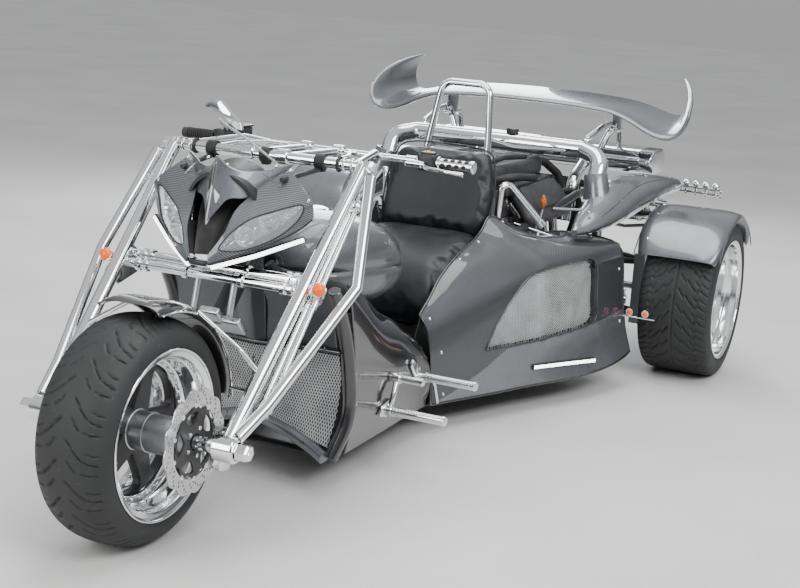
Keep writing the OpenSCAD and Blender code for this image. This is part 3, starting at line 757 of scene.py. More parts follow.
FRONT_PROF = [(0, 323), (26, 322.2), (50, 319.2), (72, 313.2), (90, 304.5), (103, 293), (111, 282.5), (116.5, 270), (117.6, 262),
              (116, 254), (112.5, 248.5), (110.8, 245.2), (107.5, 242), (105, 236), (104, 228), (98, 222.5)]
front_curves = [
    ([(2, 14), (20, 30), (40, 47), (55, 66), (62, 84), (64, 99)], 2.4, 1.0),
    ([(58, 22), (74, 33), (86, 46)], 2.0, 0.9),
    ([(88, 62), (93, 76), (94, 96)], 2.0, 0.9),
    ([(30, 72), (35, 84), (36, 99)], 1.8, 0.8),
]
tyre("front_tyre_mesh", (2838, 0, 323), FRONT_PROF, 103, 18, 28, front_curves, [], 5.0, "front_wheel_set", "front_tyre", nt=52)
REAR_PROF = [(0, 328), (60, 327.6), (105, 326), (126, 323), (137, 317.5), (143.5, 309), (147.5, 296), (150.3, 282), (150.6, 272),
             (148.5, 262), (145.5, 256), (144, 252.6), (142.4, 249.5), (139.5, 245), (138.2, 238), (132, 232)]
rear_curves = [
    ([(0, 138), (10, 118), (24, 98), (8, 90), (34, 66), (60, 46), (48, 40), (84, 14)], 2.2, 1.0),
    ([(30, 140), (38, 122), (50, 104), (38, 94), (58, 78)], 1.9, 0.85),
    ([(52, 34), (74, 22)], 1.6, 0.7),
]
for side, nm in ((1, "rear_left"), (-1, "rear_right")):
    tyre(nm + "_tyre_mesh", (0, side * 847.5, 328), REAR_PROF, 138, 32, 14, rear_curves, [(0, 1.2, 0.6)], 5.5,
         nm + "_wheel_set", nm + "_tyre", nt=60, flip=True)


# ------------------------------------------------------------------ front wheel
YA = Vector((0, 1, 0))
c = Vector((2838, 0, 323))
b = B()
lip = [(113.0, 243), (114.2, 241.5), (114.4, 238.5), (113, 236.4), (110, 235.6), (107.6, 232), (105.5, 225), (103, 219.5), (98, 217.2), (84, 216.4),
       (80, 214.5), (78, 211), (62, 209.6), (46, 208.4), (34, 207.6), (30, 205.6), (28, 201)]
prof = [(-y, r) for y, r in lip] + [(y, r) for y, r in reversed(lip)]
back = [(108.6, 243), (105, 228), (98, 222), (-98, 222), (-105, 228), (-108.6, 243)]
b.rev(c, YA, prof + back, 128, closed=True)
b.both(lambda q: q.rev(c, YA, [(17, 204), (25, 204), (26, 203), (26, 187), (25, 186), (17, 186)], 96, closed=True))
b.make("front_rim_barrel", "polished_rim", "front_wheel_set", ("front_wheel",), 30)
b = B()
for k in range(36):
    q = 2 * math.pi * k / 36
    for s in (1, -1):
        b.bolt(c + Vector((195 * math.sin(q), s * 26.5, 195 * math.cos(q))), (0, s, 0), 4.6, 5.0, "socket")
b.make("front_rim_bolts", "chrome", "front_wheel_set")
# black centre with five broad spokes
b = B()
open_ = []
for k in range(5):
    a0 = 2 * math.pi * k / 5 + 0.32
    pts = []
    for (r, da) in [(78, 0.12), (96, 0.26), (130, 0.40), (160, 0.455), (174, 0.42), (179, 0.25), (181, 0.0)]:
        pts.append((r, da))
    loop = [(r * math.sin(a0 + da), r * math.cos(a0 + da)) for r, da in pts] + \
           [(r * math.sin(a0 - da), r * math.cos(a0 - da)) for r, da in reversed(pts[:-1])]
    loop += [(66 * math.sin(a0), 66 * math.cos(a0))]
    q = resample(loop + [loop[0]], 40)[:-1]
    open_.append([tuple(p) for p in q])
plate(b, [circ(0, 0, 187, 96)] + open_, 30, frame_at(c, (1, 0, 0), (0, 0, 1)), 3.5)
b.make("front_wheel_spokes", "black_satin", "front_wheel_set", (), 40)
b = B()
b.both(lambda q: q.rev(c, YA, [(12, 0.1), (12, 57), (15, 58.5), (17, 55.5), (52, 54.5), (57, 54.5), (58.5, 56.8), (63.5, 56.8), (65, 54.5), (160, 54.3), (164, 53), (166, 50), (166, 40), (168, 36), (186, 35), (188, 33), (188, 20.5)], 80))
b.make("front_hub", "satin_alloy", "front_wheel_set", (), 30)


# ------------------------------------------------------------------ brake discs
def disc_outline(n=240):
    out = []
    for i in range(n):
        a = 2 * math.pi * i / n
        w = (0.5 + 0.5 * math.sin(a * 12)) ** 0.8
        out.append((a, 139.5 + 10.0 * w))
    return [(r * math.sin(a), r * math.cos(a)) for a, r in out]


for s, tag in ((1, "left"), (-1, "right")):
    b = B()
    holes = []
    for k in range(12):
        a = 2 * math.pi * k / 12
        for j, (r, da) in enumerate([(112, 0.0), (121, 0.085), (130, 0.17), (137, 0.255), (118, -0.14), (128, -0.08)]):
            holes.append(circ(r * math.sin(a + da), r * math.cos(a + da), 3.6, 10))
    plate(b, [disc_outline(), circ(0, 0, 103, 72)] + holes, 4.6, frame_at(c + YA * (s * 199.2), (1, 0, 0), (0, 0, 1)), 0.5)
    b.make("brake_disc_" + tag, "disc_steel", "front_wheel_set", ("brake_discs",) if s == 1 else (), 30)
    b = B()
    cut = []
    for k in range(5):
        a = 2 * math.pi * k / 5 + 0.2
        cut.append([tuple(p) for p in resample([(60 * math.sin(a - 0.25), 60 * math.cos(a - 0.25)), (84 * math.sin(a - 0.38), 84 * math.cos(a - 0.38)),
                    (88 * math.sin(a), 88 * math.cos(a)), (84 * math.sin(a + 0.38), 84 * math.cos(a + 0.38)), (60 * math.sin(a + 0.25), 60 * math.cos(a + 0.25)),
                    (52 * math.sin(a), 52 * math.cos(a)), (60 * math.sin(a - 0.25), 60 * math.cos(a - 0.25))], 24)[:-1]])
    out = [( (98 + 6 * math.cos(10 * a)) * math.sin(a), (98 + 6 * math.cos(10 * a)) * math.cos(a)) for a in [2 * math.pi * i / 160 for i in range(160)]]
    plate(b, [out, circ(0, 0, 24, 32)] + cut, 7, frame_at(c + YA * (s * 198.5), (1, 0, 0), (0, 0, 1)), 1.0)
    b.make("disc_carrier_" + tag, "black_satin", "front_wheel_set", (), 35)
    b = B()
    for k in range(10):
        a = 2 * math.pi * k / 10
        p = c + Vector((103.5 * math.sin(a), s * 195, 103.5 * math.cos(a)))
        b.rev(p, (0, s, 0), [(0, 7), (7.5, 7), (8.2, 6), (8.2, 3), (7, 2.5), (7, 0.1)], 16)
    for k in range(5):
        a = 2 * math.pi * k / 5 + 0.8
        b.bolt(c + Vector((40 * math.sin(a), s * 202, 40 * math.cos(a))), (0, s, 0), 6, 5, "socket")
    b.make("disc_buttons_" + tag, "chrome", "front_wheel_set")


# ------------------------------------------------------------------ rear wheels
for s, nm in ((1, "rear_left"), (-1, "rear_right")):
    c = Vector((0, s * 847.5, 328)); A = Vector((0, s, 0)); body = nm + "_wheel_set"
    b = B()
    outl = [(146.6, 250), (148, 248.5), (148, 245.5), (146.5, 243.6), (143.5, 242.6), (141.5, 239), (140.5, 233), (137, 229.6), (120, 228),
            (96, 227), (92, 224.5), (88, 219), (84, 217.4), (40, 216), (0, 214.5), (-40, 213.5), (-52, 212), (-58, 206)]
    inn = [(-70, 206), (-76, 209), (-130, 214), (-139, 226), (-146, 243), (-147, 249), (-145, 250), (-141, 248), (-138, 236), (-128, 232),
           (128, 232), (138, 236), (141, 248)]
    b.rev(c, A, outl + inn, 128, closed=True)
    b.make(nm + "_rim_barrel", "polished_rim", body, (nm + "_wheel",), 30)
    b = B()
    holes = []
    for k in range(5):
        a0 = 2 * math.pi * k / 5 + 0.3
        loop = [(r * math.sin(a0 + da), r * math.cos(a0 + da)) for r, da in [(92, 0.14), (120, 0.33), (158, 0.42), (188, 0.43), (197, 0.30), (200, 0.0), (197, -0.30), (188, -0.43), (158, -0.42), (120, -0.33), (92, -0.14)]]
        holes.append([tuple(p) for p in resample(loop + [loop[0]], 36)[:-1]])
    plate(b, [circ(0, 0, 209, 96), circ(0, 0, 26, 32)] + holes, 30, frame_at(c - A * 70, (1, 0, 0), (0, 0, 1)), 5.0)
    b.rev(c, A, [(-56, 78), (-50, 74), (-40, 66), (-34, 62), (-30, 60), (-28, 56), (-28, 30), (-30, 26)], 64)
    b.make(nm + "_wheel_centre", "polished_rim", body, (), 40)
    b = B()
    for k in range(5):
        a = 2 * math.pi * k / 5 + 0.9
        b.bolt(c + Vector((56 * math.sin(a), 0, 56 * math.cos(a))) - A * 50, A, 10, 22, "hex")
    for k in range(40):
        a = 2 * math.pi * k / 40
        b.bolt(c + Vector((203 * math.sin(a), 0, 203 * math.cos(a))) - A * 54, A, 4.2, 5, "socket")
    b.rev(c, A, [(-30, 40), (-16, 39), (-12, 36), (-10, 30), (-9, 0.1)], 40)
    b.make(nm + "_wheel_nuts", "chrome", body)
    # brake disc behind the spokes
    b = B()
    b.rev(c, A, [(-108, 175), (-96, 175), (-96, 95), (-92, 93), (-92, 62), (-112, 62), (-112, 93), (-108, 95)], 72, closed=True)
    b.make(nm + "_brake_disc", "disc_steel", body, (), 30)
# ------------------------------------------------------------------ panel with an opening cut along a drawn outline
def grid_of(rows, nu, nv):
    R = [resample(r, nv) for r in rows]
    c = np.array([np.mean(r, axis=0) for r in R])
    d = np.r_[0, np.cumsum(np.linalg.norm(np.diff(c, axis=0), axis=1))]
    d /= d[-1]
    return np.array([[catmull(d, [R[k][j] for k in range(len(R))], i / (nu - 1)) for j in range(nv)] for i in range(nu)])


def inside(poly, x, y):
    c = False
    n = len(poly)
    for i in range(n):
        x0, y0 = poly[i]; x1, y1 = poly[(i + 1) % n]
        if (y0 > y) != (y1 > y) and x < (x1 - x0) * (y - y0) / (y1 - y0) + x0:
            c = not c
    return c


def at_uv(G, u, v):
    nu, nv = G.shape[:2]
    a, b = min(max(u, 0), 1) * (nu - 1), min(max(v, 0), 1) * (nv - 1)
    i, j = min(int(a), nu - 2), min(int(b), nv - 2)
    fa, fb = a - i, b - j
    return (G[i, j] * (1 - fa) * (1 - fb) + G[i + 1, j] * fa * (1 - fb) + G[i, j + 1] * (1 - fa) * fb + G[i + 1, j + 1] * fa * fb)


def normals_of(G, flip=False):
    du = np.gradient(G, axis=0); dv = np.gradient(G, axis=1)
    n = np.cross(du, dv); n /= np.linalg.norm(n, axis=2, keepdims=True) + 1e-12
    return -n if flip else n


def outline_uv(G, pts, n=72):
    """Closed smooth outline through 3D points, as (u, v) on grid G."""
    q = resample(list(pts) + [pts[0]], n + 1)[:-1]
    nu, nv = G.shape[:2]
    flat = G.reshape(-1, 3)
    out = []
    for p in q:
        k = int(np.argmin(((flat - p) ** 2).sum(axis=1)))
        out.append((k // nv / (nu - 1), k % nv / (nv - 1)))
    out = np.array(out)
    for _ in range(3):
        out = (np.roll(out, 1, 0) + 2 * out + np.roll(out, -1, 0)) / 4
    return [tuple(p) for p in out]


def mir(G):
    return G * np.array([1, -1, 1])


# ------------------------------------------------------------------ fork
b = B()


def _legs(q):
    q.tube([(2838 - 0.69 * 26, 296.8, 323 + 0.72 * 26), (2166, 330, 1022)], 21, n=40)
    q.tube([(2824, 326, 353), (2716, 352, 420), (2387, 440, 706), (2196, 372, 1000)], 17, 0, n=36)
    q.rev((2838, 302, 323), YA, [(-30, 20.2), (-30, 34), (-28, 36), (28, 36), (30, 34), (30, 20.2)], 56, closed=True)
    q.tube([(2166, 330, 1022), (2190, 366, 1000)], 15, n=24)


b.both(_legs)
b.make("fork_main_tubes", "chrome", "fork", ("fork_tubes",), 40)
b = B()


def _rods(q):
    for a, c, r in ((fkp(130, 322, 110), fkp(860, 338, 128), 9), (fkp(130, 350, 118), fkp(860, 356, 134), 7)):
        q.tube([a, c], r, n=20)
        d = (c - a).normalized()
        for e, s in ((a, 1), (c, -1)):
            q.rev(e + d * s * 14, d * s, [(0, r + 0.5), (0, r + 4), (2, r + 5), (16, r + 5), (18, r + 3), (18, r)], 6)
            q.rev(e + d * s * 34, d * s, [(0, r), (0, r + 3), (8, r + 3), (8, r)], 24)
        m = (a + c) / 2
        q.rev(m - d * 12, d, [(0, r), (0.5, r + 3), (24, r + 3), (24.5, r)], 24)
    # gusset plate that carries the signal
    pts = [fkp(468, 322, 128), fkp(468, 322, 96), fkp(552, 322, 40), fkp(580, 322, 44), fkp(604, 322, 96), fkp(600, 322, 128)]
    o = Vector(pts[0]); z = Vector((0, 1, 0)); x = (pts[1] - o).normalized(); y = z.cross(x)
    m = Matrix((x, y, z)).transposed().to_4x4(); m.translation = o - z * 3
    q.prism([((p - o).dot(x), (p - o).dot(y)) for p in pts], 6, m, 1.2)
    for s, o2 in ((482, 112), (566, 58), (590, 116)):
        q.bolt(fkp(s, 326, o2), YA, 7, 5, "hex")
    q.tube([fkp(572, 285, 114), fkp(572, 318, 116)], 12, n=20)


b.both(_rods)
b.make("fork_slim_rods", "chrome", "fork", ("fork_rods",), 35)
b = B()
b.tube([fkp(455, 0, 0), fkp(772, 0, 0)], 18, n=32)
for s, o2, r in ((572, 114, 16), (536, 122, 14)):
    b.tube([fkp(s, -312, o2), fkp(s, 312, o2)], r, n=32)
    for y in (-262, -236, -96, 96, 236, 262):
        b.rev(fkp(s, y - 9, o2), YA, [(0, r), (0, r + 4), (2, r + 6), (16, r + 6), (18, r + 4), (18, r)], 32)
b.make("fork_lower_yoke", "chrome", "fork", ("steering_stem",), 35)
b = B()
R_ = Matrix((FW, YA, UP)).transposed()
b.box(fkp(451, 0, 0), (66, 178, 24), R_, 6, 3)
b.box(fkp(451, 0, 40), (66, 66, 24), R_, 6, 3)
b.both(lambda q: q.tube([fkp(451, 62, 50), fkp(556, 62, 112)], 10, n=20))
b.box(fkp(781, 0, 42), (130, 60, 18), R_, 6, 3)
for y in (-70, 70):
    b.bolt(fkp(463, y, 0), UP, 9, 7, "socket")
b.bolt(fkp(790, 0, 0), UP, 20, 12, "hex")
b.make("fork_yoke_blocks", "satin_alloy", "fork", (), 35)
b = B()


def _axle(q):
    q.rev((2838, 0, 323), YA, [(196, 19.9), (270, 19.9), (272, 27), (275, 28.5), (286, 28.5), (288, 19.9)], 40)
    q.rev((2838, 0, 323), YA, [(333, 0.1), (333, 23), (335, 25), (369, 25), (374, 21), (374, 9), (368, 8), (368, 0.1)], 6, off=0.3)
    q.rev((2838, 0, 323), YA, [(332, 26), (332, 30), (336, 30), (336, 26)], 32)


b.both(_axle)
b.make("front_axle_ends", "chrome", "fork", ("front_axle",), 28)
gmat_keep = {"engine_block": "cast_alloy", "gearbox": "cast_alloy", "main_frame": "frame_black", "steering_head": "frame_black",
             "radiator": "frame_black", "belly_pan": "black_satin", "seat_base": "black_satin", "brake_hose": "hose_grey",
             "suspension_arms": "frame_black", "rear_axle": "satin_alloy", "plate_holder": "black_satin"}

# ------------------------------------------------------------------ bars and controls
b = B()
b.tube([(2166, -332, 1022), (2166, 332, 1022)], 17, n=40)
b.both(lambda q: q.rev((2166, 332, 1022), YA, [(0, 0.1), (0, 18), (2, 20), (31, 20), (36, 16), (36, 8), (32, 7.5), (32, 0.1)], 6, off=0.2))
b.tube([(1795, -530, 1006), (1795, 530, 1006)], 11, n=32)
b.both(lambda q: q.tube([(2166, 300, 1022), (1900, 240, 1030), (1795, 200, 1006)], 11, 60, n=24))
for y in (-60, 60):
    b.tube([(2166, y, 1022), (1795, y, 1006)], 12, n=24)
    b.rev((1795, y - 20, 1006), YA, [(0, 12), (0, 19), (2, 21), (38, 21), (40, 19), (40, 12)], 28)
    b.rev((2166, y - 20, 1022), YA, [(0, 17), (0, 22), (2, 24), (38, 24), (40, 22), (40, 17)], 28)
for y in (-318, -296, 296, 318, 268, -268):
    b.rev((2166, y - 3, 1022), YA, [(0, 17), (0, 20.5), (1, 21), (6, 21), (7, 20.5), (7, 17)], 40)
b.both(lambda q: q.tube([(2166, 210, 1022), (2010, 200, 1024), (1900, 150, 1022), (1795, 120, 1006)], 7, 40, n=18))
b.make("handlebar_frame", "chrome", "fork", ("handlebars",), 35)
b = B()
for y in (-190, 0, 190, -252, 252):
    w = 16 if abs(y) < 200 else 4
    b.rev((2166, y - w, 1022), YA, [(0, 17), (0, 22), (1.5, 24), (2 * w - 1.5, 24), (2 * w, 22), (2 * w, 17)], 40)
    if w > 5:
        b.box((2166, y, 1000), (22, 26, 16), None, 3)
b.make("crossbar_clamps", "rubber_black", "fork", (), 35)
# left grip: chrome with oval pads
b = B()
b.rev((1795, 412, 1006), YA, [(0, 11.2), (0, 20), (2, 22), (7, 22), (9, 18.5), (10, 17.5), (112, 17.5), (114, 20), (118, 21), (124, 20), (126, 17), (126, 0.1)], 48)
b.make("grip_left", "chrome", "fork", ("hand_grips",), 30)
b = B()
for k in range(6):
    a = 2 * math.pi * k / 6
    for j in range(4):
        p = Vector((1795 + 17.2 * math.cos(a), 434 + j * 24 + (12 if k % 2 else 0) * 0.6, 1006 + 17.2 * math.sin(a)))
        b.ball(p, 1.0, 16, (3.2, 9.5, 6.2), Matrix.Rotation(-a, 3, "Y"))
b.make("grip_left_pads", "rubber_black", "fork", (), 0)
b = B()
prof = [(0, 11.2), (0, 21), (3, 23), (6, 23), (8, 18)]
for k in range(12):
    t = 10 + k * 8.6
    prof += [(t, 16), (t + 1, 18.6), (t + 5.6, 18.6), (t + 6.6, 16)]
prof += [(118, 18), (126, 17), (126, 0.1)]
b.rev((1795, -412, 1006), -YA, prof, 48)
b.make("grip_right", "rubber_black", "fork", (), 30)
b = B()
b.box((1796, 378, 1006), (46, 60, 54), None, 7, 3)
b.box((1796, -378, 1006), (46, 60, 54), None, 7, 3)
b.box((1796, 378, 1035), (34, 44, 10), None, 3, 2)
b.box((1774, 366, 1012), (12, 16, 9), None, 2, 2)
b.box((1774, 390, 998), (12, 12, 9), None, 2, 2)
b.box((1774, -384, 1008), (12, 14, 12), None, 2, 2)
b.box((1820, -311, 1037), (78, 70, 32), None, 6, 3)
b.box((1820, -311, 1055), (84, 76, 6), None, 2.5, 2)
b.box((1803, -318, 1014), (34, 54, 26), None, 6, 2)
b.make("bar_switches", "black_satin", "fork", ("bar_controls",), 35)
b = B()
b.ball((1800, 378, 1040), 8, 20, (1, 1, 0.6)); b.ball((1772, 380, 1024), 5, 16, (0.8, 1, 1))
b.make("bar_button", "yellow_plastic", "fork", (), 0)
b = B()
for dx in (-32, 32):
    for dy in (-28, 28):
        b.bolt((1820 + dx, -311 + dy, 1058), (0, 0, 1), 4, 3, "dome")
b.both(lambda q: q.tube([(1812, 352, 1000), (1836, 380, 1000), (1862, 404, 996), (1872, 470, 993), (1868, 530, 990)], lambda t: 8.5 - 3.2 * t + 2.5 * (t > 0.97), 26, n=20, flat=0.62))
b.both(lambda q: q.rev((1834, 352, 1002), YA, [(-34, 0.1), (-34, 9), (-30, 12), (20, 12), (22, 10), (30, 10), (30, 0.1)], 28))
b.tube([(1795, 300, 1006), (1795, 340, 1006)], 15, n=28); b.tube([(1795, -300, 1006), (1795, -340, 1006)], 15, n=28)
# faceted lever stalk that rises on the right
lev = [(-408, 1112), (-397, 1124), (-382, 1133), (-347, 1138), (-319, 1117), (-291, 1090), (-263, 1067), (-262, 1047), (-285, 1048), (-317, 1070), (-349, 1093), (-380, 1101)]
c_ = (sum(p[0] for p in lev) / len(lev), sum(p[1] for p in lev) / len(lev))
m_ = len(lev)
vl = [(1872 + dx, c_[0] + (p[0] - c_[0]) * k, c_[1] + (p[1] - c_[1]) * k) for dx, k in ((-8, 0.86), (-5, 1), (5, 1), (9, 0.82)) for p in lev]
b.add(vl, [[r * m_ + i, r * m_ + (i + 1) % m_, (r + 1) * m_ + (i + 1) % m_, (r + 1) * m_ + i] for r in range(3) for i in range(m_)] + [list(range(m_))[::-1], list(range(3 * m_, 4 * m_))])
b.rev((1850, -296, 1052), (0.2, 0, 1), [(0, 0.1), (0, 10), (10, 10), (12, 8), (12, 0.1)], 24)
b.make("bar_levers", "chrome", "fork", (), 30)
b = B()
for p, d in (((1850, -330, 1040), (1, 0.3, 0.35)), ((2222, 120, 940), (0, 0, 1))):
    d = Vector(d).normalized(); p = Vector(p)
    b.rev(p - d * 16, d, [(0, 0.1), (0, 5.5), (12, 5.5), (13, 7.5), (19, 7.5), (20, 5), (26, 5), (26, 4.2)], 6 if d.z < 0.9 else 24)
b.make("hose_ends", "chrome", "fork", (), 30)

# ------------------------------------------------------------------ nose mask
MK = [[(2538, 36, 744), (2536, 33, 754), (2532, 30, 766)],
      [(2510, 84, 764), (2510, 78, 800), (2496, 62, 832)],
      [(2462, 146, 792), (2472, 124, 850), (2456, 72, 893)],
      [(2412, 210, 828), (2428, 176, 884), (2404, 94, 936)],
      [(2372, 250, 860), (2388, 218, 914), (2350, 126, 986)],
      [(2350, 270, 886), (2358, 268, 930), (2328, 180, 1008)]]
GM = grid_of(MK, 120, 84)
HL = [(2524, 54, 782), (2482, 112, 786), (2440, 172, 812), (2406, 218, 848), (2378, 248, 892), (2372, 250, 924), (2392, 226, 922),
      (2424, 180, 905), (2458, 132, 884), (2490, 92, 848), (2512, 66, 812)]
uvL = outline_uv(GM, HL)
for s in (1, -1):
    tag = "left" if s == 1 else "right"
    G = GM if s == 1 else mir(GM)
    panel("mask_panel_" + tag, G, "carbon_big", "fork", ("nose_mask",) if s == 1 else (), 4.0, 50, s == -1,
          lambda u, v, p: not inside(uvL, u, v), 0.8)
    nrm = normals_of(G, s == -1)
    ring = [at_uv(G, u, v) + at_uv(nrm, u, v) * 1.0 for u, v in uvL]
    b = B()
    ring2 = [Vector(p) for p in ring]
    b.tube(ring2 + [ring2[0]], 3.4, 0, n=10, cap=False)
    edge = [G[i, 0] for i in range(0, 120, 4)]
    b.tube([Vector(p) for p in edge], 4.5, 0, n=10)
    b.make("headlight_seal_" + tag, "rubber_black", "fork", (), 0)
    def _low(u):
        vs_ = []
        for k in range(len(uvL)):
            (u0, v0), (u1, v1) = uvL[k], uvL[(k + 1) % len(uvL)]
            if (u0 - u) * (u1 - u) <= 0 and u0 != u1:
                vs_.append(v0 + (v1 - v0) * (u - u0) / (u1 - u0))
        return min(vs_) if vs_ else 0.0
    panel("mask_lower_" + tag, G + nrm * 1.2, "black_gloss", "fork", (), 1.2, 50, s == -1,
          lambda u, v, p: v < _low(u) - 0.004, 0)
    bulge = np.zeros(G.shape[:2])
    for i in range(G.shape[0]):
        for j in range(G.shape[1]):
            u, v = i / (G.shape[0] - 1), j / (G.shape[1] - 1)
            d = min((u - a) ** 2 + (v - c2) ** 2 for a, c2 in uvL)
            bulge[i, j] = min(math.sqrt(d) * 40, 6)
    GL = G + nrm * bulge[..., None]
    panel("headlight_lens_" + tag, GL, "lens_clear", "fork", ("headlights",) if s == 1 else (), 2.0, 50, s == -1,
          lambda u, v, p: inside(uvL, u, v), 0)
    GR = G - nrm * 34 - nrm * (np.sin(np.linspace(0, 9 * math.pi, G.shape[0]))[:, None, None] * 4)
    panel("headlight_reflector_" + tag, GR[::2, ::2], "dull_chrome", "fork", (), 1.5, 50, s == -1,
          lambda u, v, p: 0.06 < u < 0.97 and _low(u) + 0.10 < v < 0.85, 0)
    panel("headlight_shade_" + tag, (G - nrm * 22)[::2, ::2], "black_gloss", "fork", (), 1.5, 50, s == -1,
          lambda u, v, p: 0.06 < u < 0.97 and 0.03 < v < _low(u) + 0.10, 0)
    b = B()
    for (u, v, r) in ((0.36, 0.36, 27), (0.60, 0.40, 30), (0.80, 0.44, 20)):
        p = Vector(at_uv(G, u, v)); n_ = Vector(at_uv(nrm, u, v)).normalized()
        n_ = (n_ + Vector((1, 0, 0))).normalized()
        b.rev(p - n_ * 38, n_, [(0, 0.1), (1, 6), (4, 0.42 * r), (12, 0.75 * r), (26, r), (28, r + 1.5), (28, r + 3), (0, r + 3)], 36)
        b.ball(p - n_ * 30, 6, 16)
    b.make("headlight_bowls_" + tag, "chrome", "fork", (), 30)
    # light strip under the lamp
    a, c2 = Vector((2525, s * 38, 731)), Vector((2377, s * 257, 822))
    b = B()
    d = (c2 - a).normalized()
    b.tube([a, a.lerp(c2, 0.5) + Vector((6, 0, -5)), c2], 6.5, 300, n=16)
    b.make("led_strip_" + tag, "led_white", "fork", (), 30)
    b = B()
    b.tube([a - Vector((7, 0, -3)), a.lerp(c2, 0.5) + Vector((-1, 0, -2)), c2 - Vector((7, 0, -3))], 8.5, 300, n=16)
    b.make("led_housing_" + tag, "black_satin", "fork", (), 30)
    # black inner wall of the V
    E = [G[i, -1] - nrm[i, -1] * 3 for i in range(0, 120, 4) if G[i, -1][2] < 862]
    Gw = np.array([[p + np.array([-k * 9, -s * k * 0.6, -k * 1.6]) for k in range(6)] for p in E])
    panel("mask_wall_" + tag, Gw, "rubber_black", "fork", (), 3, 50, s == 1, None, 0.5)
GC = grid_of([[(2450, 0, 1046), (2474, 0, 950), (2497, 0, 858)],
              [(2430, 24, 1018), (2450, 22, 955), (2470, 20, 892)],
              [(2405, 56, 1002), (2430, 50, 956), (2450, 42, 922)],
              [(2370, 100, 1003), (2400, 86, 962), (2420, 78, 926)],
              [(2335, 145, 1016), (2362, 124, 984), (2388, 100, 946)],
              [(2313, 181, 1029), (2324, 164, 1010), (2346, 130, 984)]], 44, 24)
for s, tag in ((1, "left"), (-1, "right")):
    panel("mask_centre_" + tag, GC if s == 1 else mir(GC), "grey_gloss", "fork", (), 4, 40, s == 1, None, 1.0)
b = B()
b.add([(2476, 0, 962), (2464, 21, 932), (2502, 0, 850), (2464, -21, 932), (2470, 0, 958), (2458, 21, 928), (2494, 0, 850), (2458, -21, 928)],
      [[0, 2, 1], [0, 3, 2], [4, 5, 6], [4, 6, 7], [0, 1, 5, 4], [1, 2, 6, 5], [2, 3, 7, 6], [3, 0, 4, 7]])
b.make("mask_diamond", "mirror_white", "fork", (), 20)
b = B()


def _scr(q):
    for p, n_ in (((2312, 117, 1014), (0.6, 0.1, 0.8)), ((2398, 87, 950), (0.7, 0.3, 0.65)), ((2330, 176, 1010), (0.7, 0.3, 0.6)), ((2428, 20, 1018), (0.7, 0.4, 0.6)), ((2361, 258, 934), (0.6, 0.7, 0.3))):
        q.bolt(p, n_, 6.5, 6, "dome")


b.both(_scr)
b.make("mask_screws", "chrome", "fork", (), 0)
GV = grid_of([[(2512, 30, 762), (2478, 0, 756), (2512, -30, 762)], [(2444, 58, 872), (2384, 0, 866), (2444, -58, 872)],
              [(2374, 84, 926), (2322, 0, 916), (2374, -84, 926)], [(2316, 104, 962), (2286, 0, 960), (2316, -104, 962)]], 20, 24)
panel("mask_trough", GV, "rubber_black", "fork", (), 3, 50, False, None, 0.5)
b = B()
d = Vector((138, 0, -37)).normalized()
b.rev((2278, 0, 905), d, [(0, 0.1), (0, 110), (4, 124), (10, 128), (128, 128), (130, 126), (130, 118), (60, 112), (60, 0.1)], 72)
b.both(lambda q: q.tube([(2170, 190, 1000), (2370, 170, 985)], 8, n=18))
b.box((2532, 0, 742), (16, 60, 14), None, 3, 2)
b.make("lamp_drum", "black_satin", "fork", ("lamp_bucket",), 35)
# turn signals
b = B()


def _sig(q):
    c2 = fkp(535, 362, 138); d = (FW * 0.9 - UP * 0.25 + YA * 0.1).normalized()
    q.tube([fkp(535, 328, 112), fkp(535, 356, 112), c2], 7, 14, n=20)
    q.rev(c2 - d * 4, d, [(0, 0.1), (0, 10), (3, 15), (10, 19), (19, 21.5), (23, 21.5), (24, 20), (24, 0.1)], 36)


b.both(_sig)
b.make("signal_bodies", "chrome", "fork", ("turn_signals",), 35)
b = B()


def _sl(q):
    c2 = fkp(535, 362, 138); d = (FW * 0.9 - UP * 0.25 + YA * 0.1).normalized()
    q.rev(c2 + d * 20, d, [(0, 20), (4, 19.5), (12, 15), (16, 9), (17.5, 0.1)], 36)


b.both(_sl)
b.make("signal_lenses", "glow_amber", "fork", (), 0)

# ------------------------------------------------------------------ front fender, calipers
def arc_panel(name, c, r0, half, a0, a1, mat, body, replaces, crown=26, lip=8, n=60, m=28, thick=4, flare=0.0):
    """Mudguard: arc from a0 to a1 (degrees from +X up over), with a crowned section and turned-in lips."""
    G = np.zeros((n, m, 3))
    for i in range(n):
        u = i / (n - 1); a = math.radians(a0 + (a1 - a0) * u)
        w = half * (1 - 0.12 * (2 * abs(u - 0.5)) ** 6)
        for j in range(m):
            v = 2 * j / (m - 1) - 1
            y = w * np.sign(v) * abs(v) ** 0.85
            drop = crown * abs(v) ** 4 + (lip * max(0, abs(v) - 0.93) / 0.07)
            r = r0 - drop + flare * (2 * abs(u - 0.5)) ** 4
            G[i, j] = (c[0] + r * math.cos(a), c[1] + y, c[2] + r * math.sin(a))
    return panel(name, G, mat, body, replaces, thick, 50, True, None, 1.0)


arc_panel("front_fender_shell", (2838, 0, 323), 364, 110, 84, 176, "black_gloss", "fork", ("front_fender",), 20, 6)
b = B()


def _fe(q):
    pts = [(2838 + 343 * math.cos(math.radians(a)), 109, 323 + 343 * math.sin(math.radians(a))) for a in range(85, 176, 5)]
    q.tube(pts, 3.4, 0, n=10)
    q.tube([(2700, 110, 645), (2700, 250, 560), (2680, 296, 500)], 7, 30, n=18)
    q.tube([(2500, 108, 380), (2560, 230, 400), (2640, 300, 480)], 6, 30, n=18)


b.both(_fe)
b.make("front_fender_trim", "chrome", "fork", (), 30)
b = B()


